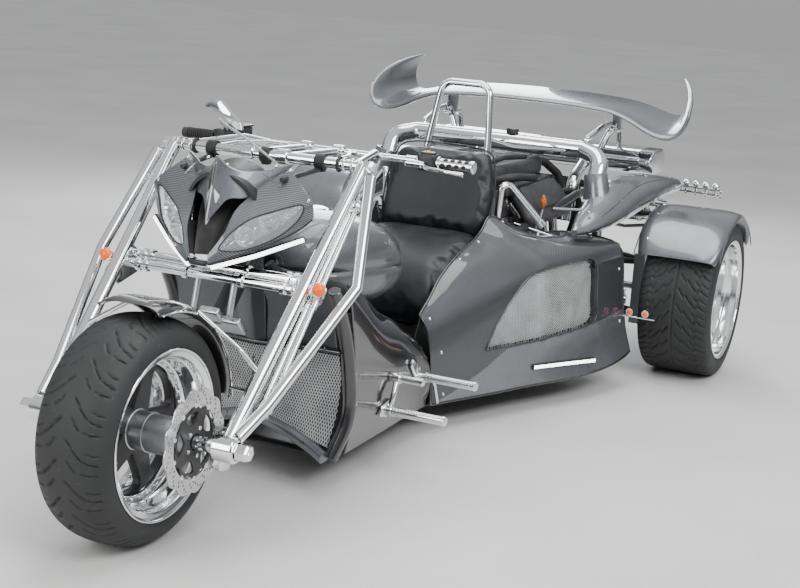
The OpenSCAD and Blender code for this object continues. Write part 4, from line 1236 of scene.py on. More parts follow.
def _cal(q):
    for side in (0, 1):
        y0 = 170 if side == 0 else 209
        poly = [(0, 0), (78, -8), (104, -46), (92, -104), (50, -116), (14, -78), (-8, -36)]
        q.prism(poly, 20, frame_at((2652, y0 + 20, 322), (1, 0, 0), (0, 0, 1)), 4, 3)
    q.box((2663, 200, 315), (22, 58, 14), Matrix.Rotation(0.12, 3, "Y"), 4, 2)
    q.box((2662, 200, 268), (16, 58, 62), Matrix.Rotation(0.2, 3, "Y"), 4, 2)
    for dx, dz in ((30, -30), (60, -66)):
        q.rev((2652 + dx, 229, 322 + dz), YA, [(0, 0.1), (0, 19), (6, 18), (8, 15), (8, 9), (5, 8), (5, 0.1)], 32)
    q.prism([(0, 0), (60, 14), (150, -30), (160, -60), (120, -62), (40, -20), (0, -30)], 8, frame_at((2660, 250, 318), (1, 0, 0), (0, 0, 1)), 2, 2)
    q.tube([(2690, 236, 330), (2740, 262, 350), (2790, 285, 345)], 8, 20, n=16)


b.both(_cal)
b.make("caliper_bodies", "chrome", "fork", ("brake_calipers",), 35)
# ------------------------------------------------------------------ more builders
def loft_closed(b, secs, n_out, n_ring=None, caps=True):
    """Smooth closed loft through closed sections of 3D points."""
    S = np.array(secs, float)
    if n_ring:
        q = []
        for s in S:
            w = np.vstack([s, s[:1]])
            d = np.r_[0, np.cumsum(np.linalg.norm(np.diff(np.vstack([s[-2:], w, s[1:3]]), axis=0), axis=1))]
            ext = np.vstack([s[-2:], w, s[1:3]])
            a, e = d[2], d[-3]
            q.append([catmull(d, ext, a + (e - a) * k / n_ring) for k in range(n_ring)])
        S = np.array(q)
    c = S.mean(axis=1)
    d = np.r_[0, np.cumsum(np.linalg.norm(np.diff(c, axis=0), axis=1))]
    d /= d[-1]
    G = np.array([catmull(d, S, i / (n_out - 1)) for i in range(n_out)])
    m = G.shape[1]
    vs = [tuple(p) for p in G.reshape(-1, 3)]
    fs = []
    for i in range(n_out - 1):
        for j in range(m):
            fs.append([i * m + j, i * m + (j + 1) % m, (i + 1) * m + (j + 1) % m, (i + 1) * m + j])
    if caps:
        for base in (0, (n_out - 1) * m):
            k = len(vs); vs.append(tuple(np.mean(vs[base:base + m], axis=0)))
            for j in range(m):
                fs.append([base + j, base + (j + 1) % m, k])
    b.add(vs, fs)
    return b


def lattice(name, G, poly, ps, pt, r, body, mat="mesh_steel", replaces=(), lift=0.0, flip=False):
    """Expanded-metal mesh: crossing strands on grid G, inside a (u, v) outline."""
    nu, nv = G.shape[:2]
    Lu = np.linalg.norm(np.diff(G[:, nv // 2], axis=0), axis=1).sum()
    Lv = np.linalg.norm(np.diff(G[nu // 2], axis=0), axis=1).sum()
    nrm = normals_of(G, flip)
    us = [p[0] for p in poly]; vs_ = [p[1] for p in poly]
    s0, s1, t0, t1 = min(us) * Lu, max(us) * Lu, min(vs_) * Lv, max(vs_) * Lv
    vv, ff = [], []
    k = ps / pt
    step = pt / 2
    for sg in (1, -1):
        a = s0 - (t1 - t0) * k - ps
        a = math.floor(a / ps) * ps
        while a < s1 + (t1 - t0) * k + ps:
            run = []
            t = t0
            h = 0
            while t <= t1 + 1e-6:
                s = a + sg * (t - t0) * k
                u, v = s / Lu, t / Lv
                if 0 <= u <= 1 and 0 <= v <= 1 and inside(poly, u, v):
                    wave = 0.9 if (h + (sg > 0)) % 2 else -0.9
                    run.append(at_uv(G, u, v) + at_uv(nrm, u, v) * (lift + wave * sg))
                else:
                    if len(run) > 1:
                        strand(vv, ff, run, r)
                    run = []
                t += step; h += 1
            if len(run) > 1:
                strand(vv, ff, run, r)
            a += ps
    b = B(); b.v = [Vector(p) for p in vv]; b.f = ff
    return b.make(name, mat, body, replaces, 0)


def strand(vv, ff, run, r):
    """Flat four-sided strand through a run of points."""
    run = np.array(run)
    t = np.gradient(run, axis=0); t /= np.linalg.norm(t, axis=1, keepdims=True) + 1e-9
    up = np.array([0.3, 0.5, 0.8]); a = np.cross(t, up); a /= np.linalg.norm(a, axis=1, keepdims=True) + 1e-9
    c = np.cross(a, t)
    base = len(vv)
    for i, p in enumerate(run):
        for k in range(4):
            q = math.pi / 2 * k
            vv.append(tuple(p + a[i] * r * math.cos(q) * 1.3 + c[i] * r * math.sin(q)))
    for i in range(len(run) - 1):
        for k in range(4):
            o = base + i * 4
            ff.append([o + k, o + (k + 1) % 4, o + 4 + (k + 1) % 4, o + 4 + k])


def seam(b, G, uvs, r=1.6, lift=0.3, flip=False):
    nrm = normals_of(G, flip)
    b.tube([Vector(at_uv(G, u, v) + at_uv(nrm, u, v) * lift) for u, v in uvs], r, 0, n=8)


# ------------------------------------------------------------------ shroud behind the front wheel
b = B()


def _rail(q):
    path = [(2250, 300, 655), (2176, 302, 520), (2152, 316, 380), (2160, 325, 240), (2222, 305, 118)]
    q.tube([Vector(p) for p in resample(path, 34)], lambda t: 24 - 3 * abs(2 * t - 1) ** 3, 0, n=28)


b.both(_rail)
b.make("shroud_rails", "black_gloss", "chassis", ("front_shroud",), 35)
b = B()
lipc = [(2220, 282, 116), (2200, 215, 140), (2194, 120, 176), (2188, 0, 198), (2194, -120, 176), (2200, -215, 140), (2220, -282, 116)]
b.tube([Vector(p) for p in resample(lipc, 40)], 20, 0, n=24, flat=1.0)
b.make("shroud_lip", "grey_gloss", "chassis", (), 35)
GP = grid_of([[(2246, 276, 650), (2252, 150, 660), (2256, 48, 662)], [(2205, 280, 560), (2214, 150, 568), (2216, 50, 572)],
              [(2176, 286, 455), (2188, 150, 452), (2192, 40, 444)]], 40, 30)
for s, tag in ((1, "left"), (-1, "right")):
    panel("shroud_panel_" + tag, GP if s == 1 else mir(GP), "carbon_gloss", "chassis", (), 4, 50, s == -1, None, 1)
GPc = grid_of([[(2192, 42, 444), (2200, 0, 440), (2192, -42, 444)], [(2216, 50, 560), (2226, 0, 560), (2216, -50, 560)], [(2228, 50, 620), (2236, 0, 618), (2228, -50, 620)]], 20, 20)
panel("shroud_panel_mid", GPc, "carbon_gloss", "chassis", (), 4, 50, False, None, 1)
GG = grid_of([[(2181, 298, 446), (2194, 150, 448), (2200, 0, 440), (2194, -150, 448), (2181, -298, 446)],
              [(2166, 304, 360), (2184, 150, 354), (2190, 0, 350), (2184, -150, 354), (2166, -304, 360)],
              [(2176, 300, 250), (2186, 150, 262), (2192, 0, 270), (2186, -150, 262), (2176, -300, 250)],
              [(2206, 284, 128), (2194, 150, 166), (2190, 0, 206), (2194, -150, 166), (2206, -284, 128)]], 60, 90)
lattice("front_mesh", GG, [(0.01, 0.01), (0.99, 0.01), (0.99, 0.99), (0.01, 0.99)], 15, 9, 1.25, "chassis", replaces=("front_grilles",))
panel("front_mesh_back", GG - np.array([34, 0, 0]), "black_satin", "chassis", (), 3, 50, False, None, 0)
b = B()
b.tube([Vector(GG[0, k]) + Vector((2, 0, 2)) for k in range(0, 90, 4)], 6, 0, n=12)
b.tube([(2190, 0, 446), (2186, 0, 330), (2186, 0, 205)], 7, 100, n=12)
for y in (-250, -150, -60, 60, 150, 250):
    p = at_uv(GG, 0.0, 0.5 - y / 600)
    b.bolt(Vector(p) + Vector((5, 0, 8)), (1, 0, 0.2), 6, 6, "dome")
b.make("front_mesh_frame", "black_gloss", "chassis", (), 35)

# triangular side panels
PT = [[(2140, 292, 650), (2128, 302, 540), (2124, 318, 400), (2126, 324, 250), (2130, 302, 112)],
      [(1990, 268, 586), (1988, 298, 492), (1990, 318, 370), (1992, 320, 236), (1996, 296, 108)],
      [(1820, 246, 496), (1818, 292, 420), (1820, 316, 330), (1822, 316, 220), (1826, 292, 106)],
      [(1650, 240, 424), (1648, 288, 362), (1650, 308, 290), (1652, 308, 205), (1656, 288, 105)],
      [(1484, 264, 306), (1484, 290, 264), (1484, 302, 217), (1484, 301, 163), (1484, 287, 103)]]
GT = grid_of(PT, 60, 40)
for s, tag in ((1, "left"), (-1, "right")):
    G = GT if s == 1 else mir(GT)
    panel("side_panel_" + tag, G, "black_gloss", "chassis", ("side_panels",) if s == 1 else (), 5, 50, s == 1, None, 1.5)
b = B()


def _sp(q):
    n_ = normals_of(GT, True)
    for u, v in ((0.12, 0.10), (0.12, 0.5), (0.12, 0.92), (0.45, 0.06), (0.78, 0.08), (0.93, 0.5), (0.5, 0.94), (0.85, 0.92), (0.3, 0.94)):
        q.bolt(Vector(at_uv(GT, u, v)), -Vector(at_uv(n_, u, v)) if at_uv(n_, u, v)[1] < 0 else Vector(at_uv(n_, u, v)), 7, 5, "dome")


b.both(_sp)
b.make("side_panel_screws", "chrome", "chassis", (), 0)
b = B()
b.both(lambda q: seam(q, GT, [(k / 30, 0.0) for k in range(31)], 5, 0, True))
b.both(lambda q: seam(q, GT, [(k / 30, 1.0) for k in range(31)], 4, 0, True))
b.make("side_panel_edges", "shadow_gloss", "chassis", (), 0)

# foot pegs
b = B()


def _peg(q):
    for x, z, y0, y1, r in ((1894, 200, 330, 544, 15), (1850, 300, 320, 440, 12), (1621, 250, 322, 535, 15)):
        prof = [(0, 0.1), (0, r * 0.8), (26, r * 0.8), (28, r + 2), (33, r + 2), (35, r * 0.82)]
        t = 38
        while t < y1 - y0 - 14:
            prof += [(t, r * 0.82), (t + 1, r), (t + 6.5, r), (t + 7.5, r * 0.82)]
            t += 9.5
        L = y1 - y0
        prof += [(L - 12, r * 0.82), (L - 11, r + 1), (L - 3, r + 1), (L, r - 2), (L, 0.1)]
        q.rev((x, y0, z), YA, prof, 36)
    q.tube([(1894, 342, 200), (1884, 350, 250), (1850, 345, 300)], 9, 60, n=20)
    for p in ((1894, 342, 200), (1850, 345, 300)):
        q.rev((p[0], p[1] - 14, p[2]), YA, [(0, 0.1), (0, 16), (3, 18), (25, 18), (28, 16), (28, 0.1)], 32)
    q.prism([(0, 0), (44, -10), (96, 52), (84, 76), (20, 40)], 9, frame_at((1600, 326, 246), (1, 0, 0), (0, 0, 1)), 2, 2)
    q.prism([(0, 0), (60, -14), (66, -46), (20, -60), (-6, -30)], 9, frame_at((1866, 332, 232), (1, 0, 0), (0, 0, 1)), 2, 2)
    q.tube([(1478, 306, 214), (1462, 316, 176), (1450, 326, 112)], 6, 40, n=16)


b.both(_peg)
b.make("peg_set", "chrome", "chassis", ("foot_pegs",), 32)

# ------------------------------------------------------------------ tank
def egg(x, w, z0, z1, n=48, p=0.8, dx=0.0):
    out = []
    for i in range(n):
        a = 2 * math.pi * i / n
        s, k = math.sin(a), math.cos(a)
        y = w * math.copysign(abs(k) ** 0.78, k)
        z = (z0 + z1) / 2 + (z1 - z0) / 2 * math.copysign(abs(s) ** p, s)
        out.append((x + dx * s, y, z))
    return out


def loft_panel(name, secs, nu, mat, body, replaces, flip=False, nv=96, caps=True):
    """Closed loft with UVs in metres (for woven finishes)."""
    S = []
    for s in secs:
        s = np.array(s, float)
        S.append(np.vstack([s, s[:1]]))
    S = np.array(S)
    c = S.mean(axis=1)
    d = np.r_[0, np.cumsum(np.linalg.norm(np.diff(c, axis=0), axis=1))]; d /= d[-1]
    G = np.array([catmull(d, S, i / (nu - 1)) for i in range(nu)])
    o = panel(name, G, mat, body, replaces, 3, 45, flip, None, 0)
    return o, G


tank_secs = [egg(2112, 22, 640, 700), egg(2104, 70, 585, 735), egg(2080, 118, 548, 765), egg(2030, 172, 515, 795), egg(1960, 212, 500, 811), egg(1880, 232, 490, 814),
             egg(1780, 242, 480, 803), egg(1680, 236, 478, 782), egg(1600, 218, 482, 752), egg(1530, 182, 492, 712), egg(1496, 128, 520, 680), egg(1486, 40, 570, 630)]
loft_panel("tank_shell", tank_secs, 90, "carbon_big", "chassis", ("fuel_tank",))
b = B()
b.rev((1820, 0, 802), (0.10, 0, 1), [(0, 0.1), (0, 42), (6, 42), (9, 39), (9, 33), (13, 31), (15, 26), (15, 0.1)], 48)
for k in range(6):
    a = 2 * math.pi * k / 6
    b.bolt((1820 + 37 * math.cos(a), 37 * math.sin(a), 810), (0.1, 0, 1), 3, 3, "socket")
b.make("tank_cap", "chrome", "chassis", (), 35)

# ------------------------------------------------------------------ leather seat
def puff(o, amount=7.0, press=4.0, cap=9.0):
    """Cloth pass: lets the leather swell and settle, then keeps the result as a mesh."""
    sc = bpy.context.scene
    me0 = o.data.copy()
    w = bpy.data.objects.new("tmp_cushion", me0)
    sc.collection.objects.link(w)
    w.modifiers.clear()
    rm = w.modifiers.new("r", "REMESH"); rm.mode = "VOXEL"; rm.voxel_size = 0.0075
    dg = bpy.context.evaluated_depsgraph_get()
    me1 = bpy.data.meshes.new_from_object(w.evaluated_get(dg))
    w.modifiers.clear(); w.data = me1
    vg = w.vertex_groups.new(name="pin")
    n = len(me1.vertices)
    base = np.zeros(n * 3, np.float32); me1.vertices.foreach_get("co", base); base = base.reshape(-1, 3).astype(float)
    lo, hi = base.min(0), base.max(0)
    for i in range(n):
        if base[i, 2] < lo[2] + 0.012:
            vg.add([i], 1.0, "REPLACE")
    cl = w.modifiers.new("c", "CLOTH")
    st = cl.settings
    st.quality = 6; st.mass = 0.35
    st.tension_stiffness = 22; st.compression_stiffness = 22; st.shear_stiffness = 10; st.bending_stiffness = 1.2
    st.use_pressure = True; st.uniform_pressure_force = press; st.shrink_min = -0.055
    st.vertex_group_mass = "pin"
    st.effector_weights.gravity = 0
    cl.collision_settings.use_collision = False
    cl.point_cache.frame_start = 1; cl.point_cache.frame_end = 20
    for f in range(1, 21):
        sc.frame_set(f)
    dg = bpy.context.evaluated_depsgraph_get()
    me2 = bpy.data.meshes.new_from_object(w.evaluated_get(dg))
    sc.frame_set(1)
    new = np.zeros(n * 3, np.float32); me2.vertices.foreach_get("co", new); new = new.reshape(-1, 3).astype(float)
    d = new - base
    L = np.linalg.norm(d, axis=1)
    k = np.minimum(1.0, cap * MM / (L + 1e-9))
    out = base + d * k[:, None]
    me2.vertices.foreach_set("co", out.astype(np.float32).reshape(-1))
    me2.update()
    bpy.data.objects.remove(w)
    old = o.data
    o.data = me2
    me2.materials.clear(); me2.materials.append(old.materials[0])
    me2.polygons.foreach_set("use_smooth", [True] * len(me2.polygons))
    sm = o.modifiers.new("soft", "SMOOTH"); sm.factor = 0.5; sm.iterations = 3


def seat_sec(c, t, w, h, bol=14, n=64, dish=10):
    """Section of the bucket at centre c, path direction t (x, z); the sitter's side is the upper one."""
    t = Vector((t[0], 0, t[1])).normalized(); up = Vector((-t.z, 0, t.x))
    if up.z < 0:
        up = -up
    if abs(up.z) < 0.05 and up.x < 0:
        up = -up
    out = []
    for i in range(n):
        a = 2 * math.pi * i / n
        k, s = math.cos(a), math.sin(a)
        y = w * math.copysign(abs(k) ** 0.62, k)
        hh = h * math.copysign(abs(s) ** 0.75, s)
        if s > 0:
            q = abs(y) / w
            hh += bol * q ** 3 - dish * (1 - q * q)
        p = Vector((c[0], y, c[1])) + up * hh
        out.append(tuple(p))
    return out


back = [((742, 922), (0.15, -1), 150, 12, 2, 2), ((748, 908), (0.15, -1), 184, 24, 6, 4), ((757, 880), (0.2, -1), 202, 33, 9, 7),
        ((772, 830), (0.22, -1), 216, 40, 12, 10), ((790, 765), (0.22, -1), 222, 46, 16, 14), ((806, 705), (0.24, -1), 220, 50, 18, 14),
        ((824, 650), (0.30, -1), 214, 50, 14, 10), ((838, 610), (0.4, -1), 206, 38, 6, 4), ((844, 596), (0.4, -1), 180, 18, 2, 2)]
b = B()
loft_closed(b, [seat_sec((c[0] + 8, c[1]), t, w, h, bo, 64, di) for c, t, w, h, bo, di in back], 60)
so_back = b.make("seat_back_leather", "leather_black", "chassis", ("seat_back",), 0)
cush = [((866, 566), (1, 0.0), 176, 40, 2, 2), ((880, 562), (1, -0.02), 200, 60, 8, 6), ((930, 556), (1, -0.05), 222, 70, 16, 14),
        ((1000, 544), (1, -0.12), 234, 72, 20, 18), ((1070, 522), (1, -0.25), 238, 72, 20, 16), ((1135, 488), (1, -0.5), 232, 70, 14, 10),
        ((1188, 440), (1, -0.9), 218, 62, 8, 6), ((1222, 392), (1, -1.6), 200, 52, 4, 2), ((1242, 350), (1, -2.6), 180, 40, 2, 0), ((1247, 326), (1, -3), 150, 18, 0, 0)]
b = B()
loft_closed(b, [seat_sec(c, t, w, h, bo, 64, di) for c, t, w, h, bo, di in cush], 70)
so_cush = b.make("seat_cushion_leather", "leather_black", "chassis", ("seat_cushion",), 0)
for o_ in (so_back, so_cush):
    puff(o_)
b = B()
edge_b = [(742 + 14, 150, 930), (756, 190, 916), (768, 210, 880), (786, 224, 830), (806, 230, 766), (826, 228, 700), (846, 220, 650), (856, 208, 616)]
b.both(lambda q: q.tube([Vector(p) for p in resample([(760, 0, 938), (758, 90, 937)] + edge_b, 50)], 3.2, 0, n=8))
b.make("seat_piping", "rubber_black", "chassis", (), 0)
GS2 = grid_of([[(1465, 200, 250), (1465, 226, 340), (1465, 240, 420)], [(1280, 196, 300), (1280, 222, 430), (1280, 232, 526)], [(1100, 216, 420), (1100, 232, 520), (1100, 236, 594)],
               [(920, 214, 540), (920, 232, 600), (920, 236, 648)], [(866, 216, 560), (866, 234, 640), (866, 240, 692)], [(780, 240, 600), (780, 256, 640), (780, 272, 668)], [(680, 240, 560), (680, 290, 600), (680, 318, 618)], [(560, 230, 560), (560, 300, 598), (560, 352, 602)]], 60, 20)
for s, tag in ((1, "left"), (-1, "right")):
    panel("seat_surround_" + tag, GS2 if s == 1 else mir(GS2), "carbon_gloss", "chassis", (), 4, 50, s == -1, None, 1)

# ------------------------------------------------------------------ body shells
SR = [(1465, [(240, 420), (256, 402), (276, 360), (292, 290), (300, 200), (304, 104)]),
      (1380, [(236, 464), (262, 450), (302, 396), (323, 306), (332, 200), (336, 102)]),
      (1280, [(232, 526), (284, 504), (342, 424), (365, 306), (370, 200), (378, 100)]),
      (1160, [(234, 576), (312, 552), (392, 462), (416, 326), (422, 210), (434, 100)]),
      (1040, [(236, 608), (344, 580), (438, 498), (460, 340), (468, 220), (484, 100)]),
      (920, [(236, 648), (362, 600), (476, 524), (506, 350), (516, 230), (540, 100)]),
      (866, [(240, 692), (376, 612), (494, 540), (524, 350), (536, 230), (566, 100)]),
      (800, [(264, 676), (412, 606), (520, 544), (548, 350), (562, 230), (596, 100)]),
      (680, [(318, 620), (472, 600), (560, 550), (586, 350), (602, 240), (646, 104)]),
      (560, [(352, 604), (522, 597), (596, 557), (622, 350), (640, 240), (688, 116)]),
      (460, [(370, 597), (548, 592), (622, 562), (650, 350), (668, 240), (706, 130)]),
      (400, [(382, 592), (560, 588), (634, 560), (664, 350), (682, 240), (712, 142)])]
GB = grid_of([[(x, y, z) for y, z in r] for x, r in SR], 150, 100)
RC = [(1215, 396, 262), (1139, 420, 374), (1042, 446, 466), (965, 470, 515), (858, 506, 535), (740, 545, 541), (600, 590, 540), (585, 600, 500), (585, 612, 400),
      (590, 622, 310), (610, 618, 288), (700, 590, 278), (868, 533, 266), (1000, 482, 262), (1110, 438, 262)]
uvR = outline_uv(GB, RC, 110)
V0 = 0.735


def _skirt(u, v, p):
    return v > V0 + max(0.0, (p[0] - 1100) / 365) * 0.26


for s, tag in ((1, "left"), (-1, "right")):
    G = GB if s == 1 else mir(GB)
    fl = s == -1
    panel("body_shell_" + tag, G, "carbon_gloss", "chassis", ("body_shells",) if s == 1 else (), 5, 50, fl,
          lambda u, v, p: not inside(uvR, u, v) and not _skirt(u, v, p), 0.8)
    panel("body_skirt_" + tag, G, "grey_gloss", "chassis", (), 5, 50, fl,
          lambda u, v, p: _skirt(u, v, p) and not inside(uvR, u, v), 0.8)
    nr = normals_of(G, fl)
    if at_uv(nr, 0.5, 0.6)[1] * s < 0:
        nr = -nr
    out = [Vector(at_uv(G, u, v)) for u, v in uvR]
    inn = [Vector(at_uv(G, u, v) - at_uv(nr, u, v) * 30) for u, v in uvR]
    cc = sum(inn, Vector()) / len(inn)
    inn = [p + (cc - p) * 0.05 for p in inn]
    b = B()
    n_ = len(out)
    mid = [o2 - Vector(at_uv(nr, u, v)) * 4 for o2, (u, v) in zip(out, uvR)]
    b.add(out + mid + inn, [[i, (i + 1) % n_, n_ + (i + 1) % n_, n_ + i] for i in range(n_)] + [[n_ + i, n_ + (i + 1) % n_, 2 * n_ + (i + 1) % n_, 2 * n_ + i] for i in range(n_)])
    o = b.make("intake_recess_" + tag, "black_gloss", "chassis", (), 40)
    md = o.modifiers.new("wall", "SOLIDIFY"); md.thickness = 0.003; md.offset = 0
    b = B()
    b.tube(out + [out[0]], 4.0, 0, n=10, cap=False)
    b.make("intake_rim_" + tag, "shadow_gloss", "chassis", (), 0)
    lattice("intake_mesh_" + tag, G, uvR, 15.5, 9.5, 1.5, "chassis", replaces=("side_grilles",) if s == 1 else (), lift=-24, flip=False if at_uv(normals_of(G), 0.5, 0.6)[1] * s > 0 else True)
    panel("intake_back_" + tag, (G - nr * 52)[::3, ::3], "black_satin", "chassis", (), 3, 50, fl, lambda u, v, p: 0.18 < u < 0.86 and 0.2 < v < 0.86, 0)
    # strip of light in the skirt
    b = B(); b2 = B()
    k0 = []
    for k in range(12):
        x_, z_ = 972 - 322 * k / 11, 170 - 22 * k / 11
        i_ = int(np.argmin(np.abs(GB[:, 75, 0] - x_))); j_ = int(np.argmin(np.abs(GB[i_, :, 2] - z_)))
        k0.append(Vector(G[i_, j_]) + Vector(nr[i_, j_]) * 3)
    tt = np.linspace(-1, 1, len(k0)); pk = np.array([tuple(p) for p in k0])
    k0 = [Vector(p) for p in np.stack([np.polyval(np.polyfit(tt, pk[:, c_], 2), tt) for c_ in range(3)], 1)]
    b.tube(k0, 8.5, 0, n=16)
    b.make("skirt_led_" + tag, "led_white", "chassis", (), 0)
    b2.tube([p - Vector((0, s * 5, 0)) for p in k0], 12, 0, n=16)
    b2.make("skirt_led_housing_" + tag, "black_satin", "chassis", (), 0)
b = B()


def _closing(q):
    q.prism([(500, 590), (560, 588), (634, 560), (664, 350), (684, 240), (708, 142), (560, 130), (520, 330)], 5, frame_at((392, 0, 0), (0, 1, 0), (0, 0, 1)), 1.5, 2)


b.both(_closing)
b.make("body_tail_panel", "grey_gloss", "chassis", (), 40)
b = B()


def _sh(q):
    nb = normals_of(GB, False)
    sg = 1 if at_uv(nb, 0.5, 0.6)[1] > 0 else -1
    for u, v in ((0.03, 0.12), (0.05, 0.5), (0.06, 0.92), (0.30, 0.03), (0.45, 0.03), (0.62, 0.03), (0.80, 0.03), (0.97, 0.2), (0.97, 0.5), (0.97, 0.8)):
        q.bolt(Vector(at_uv(GB, u, v)), Vector(at_uv(nb, u, v)) * sg, 6.5, 5, "dome")


b.both(_sh)
b.make("body_screws", "chrome", "chassis", (), 0)
b = B()
b.both(lambda q: seam(q, GB, [(k / 60, 1.0) for k in range(61)], 4.5, 0))
b.both(lambda q: seam(q, GB, [(0.0, k / 20) for k in range(21)], 4.0, 0))
b.both(lambda q: seam(q, GB, [(1.0, k / 20) for k in range(21)], 4.0, 0))
b.both(lambda q: seam(q, GB, [(k / 60, 0.0) for k in range(61)], 4.5, 0))
b.make("body_edges", "black_gloss", "chassis", (), 0)
# ------------------------------------------------------------------ pods
pods = [(600, 500, 628, 14, 12), (560, 508, 634, 34, 20), (480, 522, 655, 66, 42), (400, 532, 674, 84, 60), (330, 538, 692, 96, 76), (250, 546, 710, 102, 88), (180, 554, 720, 104, 92),
        (90, 564, 731, 103, 86), (20, 576, 738, 100, 76), (-60, 588, 742, 92, 66), (-140, 600, 742, 82, 57), (-230, 612, 739, 68, 47), (-310, 624, 734, 56, 39), (-372, 630, 726, 42, 28), (-390, 632, 723, 28, 18)]


def pod_sec(x, y, z, w, h, n=40):
    out = []
    for i in range(n):
        a = 2 * math.pi * i / n
        k, s = math.cos(a), math.sin(a)
        # flat-topped fairing with a sharp outer edge that tucks in below
        yy = w * math.copysign(abs(k) ** 0.85, k)
        zz = h * math.copysign(abs(s) ** (0.85 if s > 0 else 1.25), s)
        if s > 0:
            zz -= 0.22 * h * (k + 1) / 2
        if s < 0:
            yy -= 0.26 * w * -s
        out.append((x, y + yy, z + zz))
    return out


b = B()
pb = B(); loft_closed(pb, [pod_sec(*t) for t in pods], 80)
b.both(lambda q: q.add(pb.v, pb.f))
b.make("pod_shells", "grey_gloss", "chassis", ("side_pods",), 55)
b = B()


def _podtrim(q):
    for frac in (0.13,):
        pts = []
        for t in pods[2:-1]:
            s_ = pod_sec(*t)
            p = Vector(s_[6]); pts.append(p)
        q.tube([Vector(p) for p in resample([tuple(v) for v in pts], 50)], 1.8, 0, n=8)
    pts = [Vector(pod_sec(*t)[39]) for t in pods[1:-1]]
    q.tube([Vector(p) for p in resample([tuple(v) for v in pts], 50)], 2.6, 0, n=8)


b.both(_podtrim)
b.make("pod_seams", "black_gloss", "chassis", (), 0)
b = B()


def _podscr(q):
    for x, y, z, n_ in ((300, 480, 770, (-0.3, -0.6, 0.8)), (330, 600, 735, (0, 0.5, 0.8)), (-60, 560, 806, (0, 0, 1)), (-240, 640, 772, (0, 0.4, 0.9)), (500, 520, 700, (0.3, 0, 1)), (520, 470, 640, (0.4, -0.8, 0.4))):
        q.bolt((x, y, z), n_, 7, 6, "dome")


b.both(_podscr)
b.make("pod_screws", "chrome", "chassis", (), 0)
b = B()
b.both(lambda q: q.rev((300, 470, 826), (0.12, 0.22, -1), [(0, 39), (0, 46), (3, 48), (60, 52), (100, 60), (104, 40)], 48))
b.make("pod_collars", "grey_gloss", "chassis", (), 40)

# ------------------------------------------------------------------ intake loop, hoop, rails
b = B()
b.tube([(300, 470, 770), (245, 470, 880), (200, 380, 905), (200, -380, 905), (245, -470, 880), (300, -470, 770)], 38, 70, n=48, k=12)
for y in (-300, -120, 120, 300):
    b.rev((200, y - 5, 905), YA, [(0, 38), (0.5, 39), (9.5, 39), (10, 38)], 56)
b.both(lambda q: q.tube([(120, 330, 930), (150, 376, 930), (170, 420, 908)], 6, 20, n=14))
b.make("intake_pipe", "chrome", "chassis", ("intake_loop",), 40)
b = B()
b.rev((200, 60, 938), (0, 0, 1), [(0, 0.1), (0, 22), (3, 24), (5, 26), (20, 26), (23, 24), (23, 0.1)], 24)
b.both(lambda q: q.rev((292, 470, 785), (0.42, 0, -1), [(0, 38.5), (0, 43), (22, 43), (22, 38.5)], 48))
b.make("intake_cap", "rubber_black", "chassis", (), 35)
b = B()
b.tube([(716, -150, 640), (640, -125, 960), (600, -100, 1165), (600, 100, 1165), (640, 125, 960), (716, 150, 640)], 14, 50, n=36, k=12)
b.both(lambda q: q.tube([(776, 238, 640), (770, 246, 800), (742, 268, 806), (690, 400, 655)], 13, 30, n=32, k=10))
b.both(lambda q: q.rev((696, 384, 672), (-0.25, 0.6, -0.72), [(0, 13), (0, 17), (24, 17), (26, 13)], 32))
b.both(lambda q: q.tube([(640, 125, 960), (560, 200, 930), (300, 330, 905)], 7, 60, n=18))
b.make("seat_hoop_tubes", "chrome", "chassis", ("seat_hoop",), 40)

# ------------------------------------------------------------------ engine
b = B()
b.box((380, 0, 812), (520, 360, 86), None, 26, 4)
b.box((380, 0, 850), (440, 290, 16), None, 7, 3)
for k in range(7):
    b.box((210 + k * 54, -70, 858), (8, 120, 6), None, 2, 1)
b.box((300, 90, 860), (150, 60, 6), None, 3, 2)
b.box((300, 90, 862), (130, 44, 5), None, 2, 1)
b.rev((540, -110, 850), (0, 0, 1), [(0, 0.1), (0, 30), (14, 30), (17, 27), (17, 0.1)], 32)
for k in range(8):
    a = 2 * math.pi * k / 8
    b.box((540 + 28 * math.cos(a), -110 + 28 * math.sin(a), 860), (8, 8, 14), Matrix.Rotation(a, 3, "Z"), 2, 1)


def _side(q):
    # slanted side cover: bare raised panel with rounded corners
    m = frame_at((136, 226, 742), (1, 0, 0), (0, 0.62, -0.78))
    q.prism([(0, 20), (22, 0), (458, 0), (490, 26), (498, 120), (470, 152), (30, 152), (4, 128)], 34, m, 12, 4)
    m2 = frame_at((176, 226 + 20, 742 + 28), (1, 0, 0), (0, 0.62, -0.78))
    q.prism([(0, 16), (14, 0), (398, 0), (412, 16), (412, 96), (398, 110), (14, 110), (0, 96)], 8, m2, 3, 2)
    q.box((380, 190, 756), (500, 60, 40), None, 10, 3)


b.both(_side)
b.make("engine_cover_set", "engine_plastic", "chassis", ("engine_covers",), 38)
b = B()


def _cyl(q):
    for k in range(4):
        x = 180 + k * 124
        q.tube([(x, 205, 700), (x, 250, 660), (x - 20, 262, 560), (x - 60, 258, 470)], 19, 40, n=24)
        q.rev((x, 200, 700), YA, [(0, 32), (6, 32), (8, 20)], 24)
    q.tube([(120, 258, 440), (620, 258, 452)], 26, 0, n=28)
    for k in range(9):
        q.bolt((130 + k * 62, 205, 600), YA, 7, 8, "hex")


b.both(_cyl)
b.make("exhaust_headers", "dull_chrome", "chassis", (), 38)
b = B()


def _eng(q):
    q.box((370, 206, 560), (500, 14, 180), None, 5, 2)
    for k in range(10):
        q.box((150 + k * 50, 214, 560), (8, 8, 168), None, 2, 1)
    q.box((370, 206, 300), (540, 16, 140), None, 6, 2)
    for k in range(12):
        q.bolt((124 + k * 46, 214, 372), YA, 6, 7, "hex")


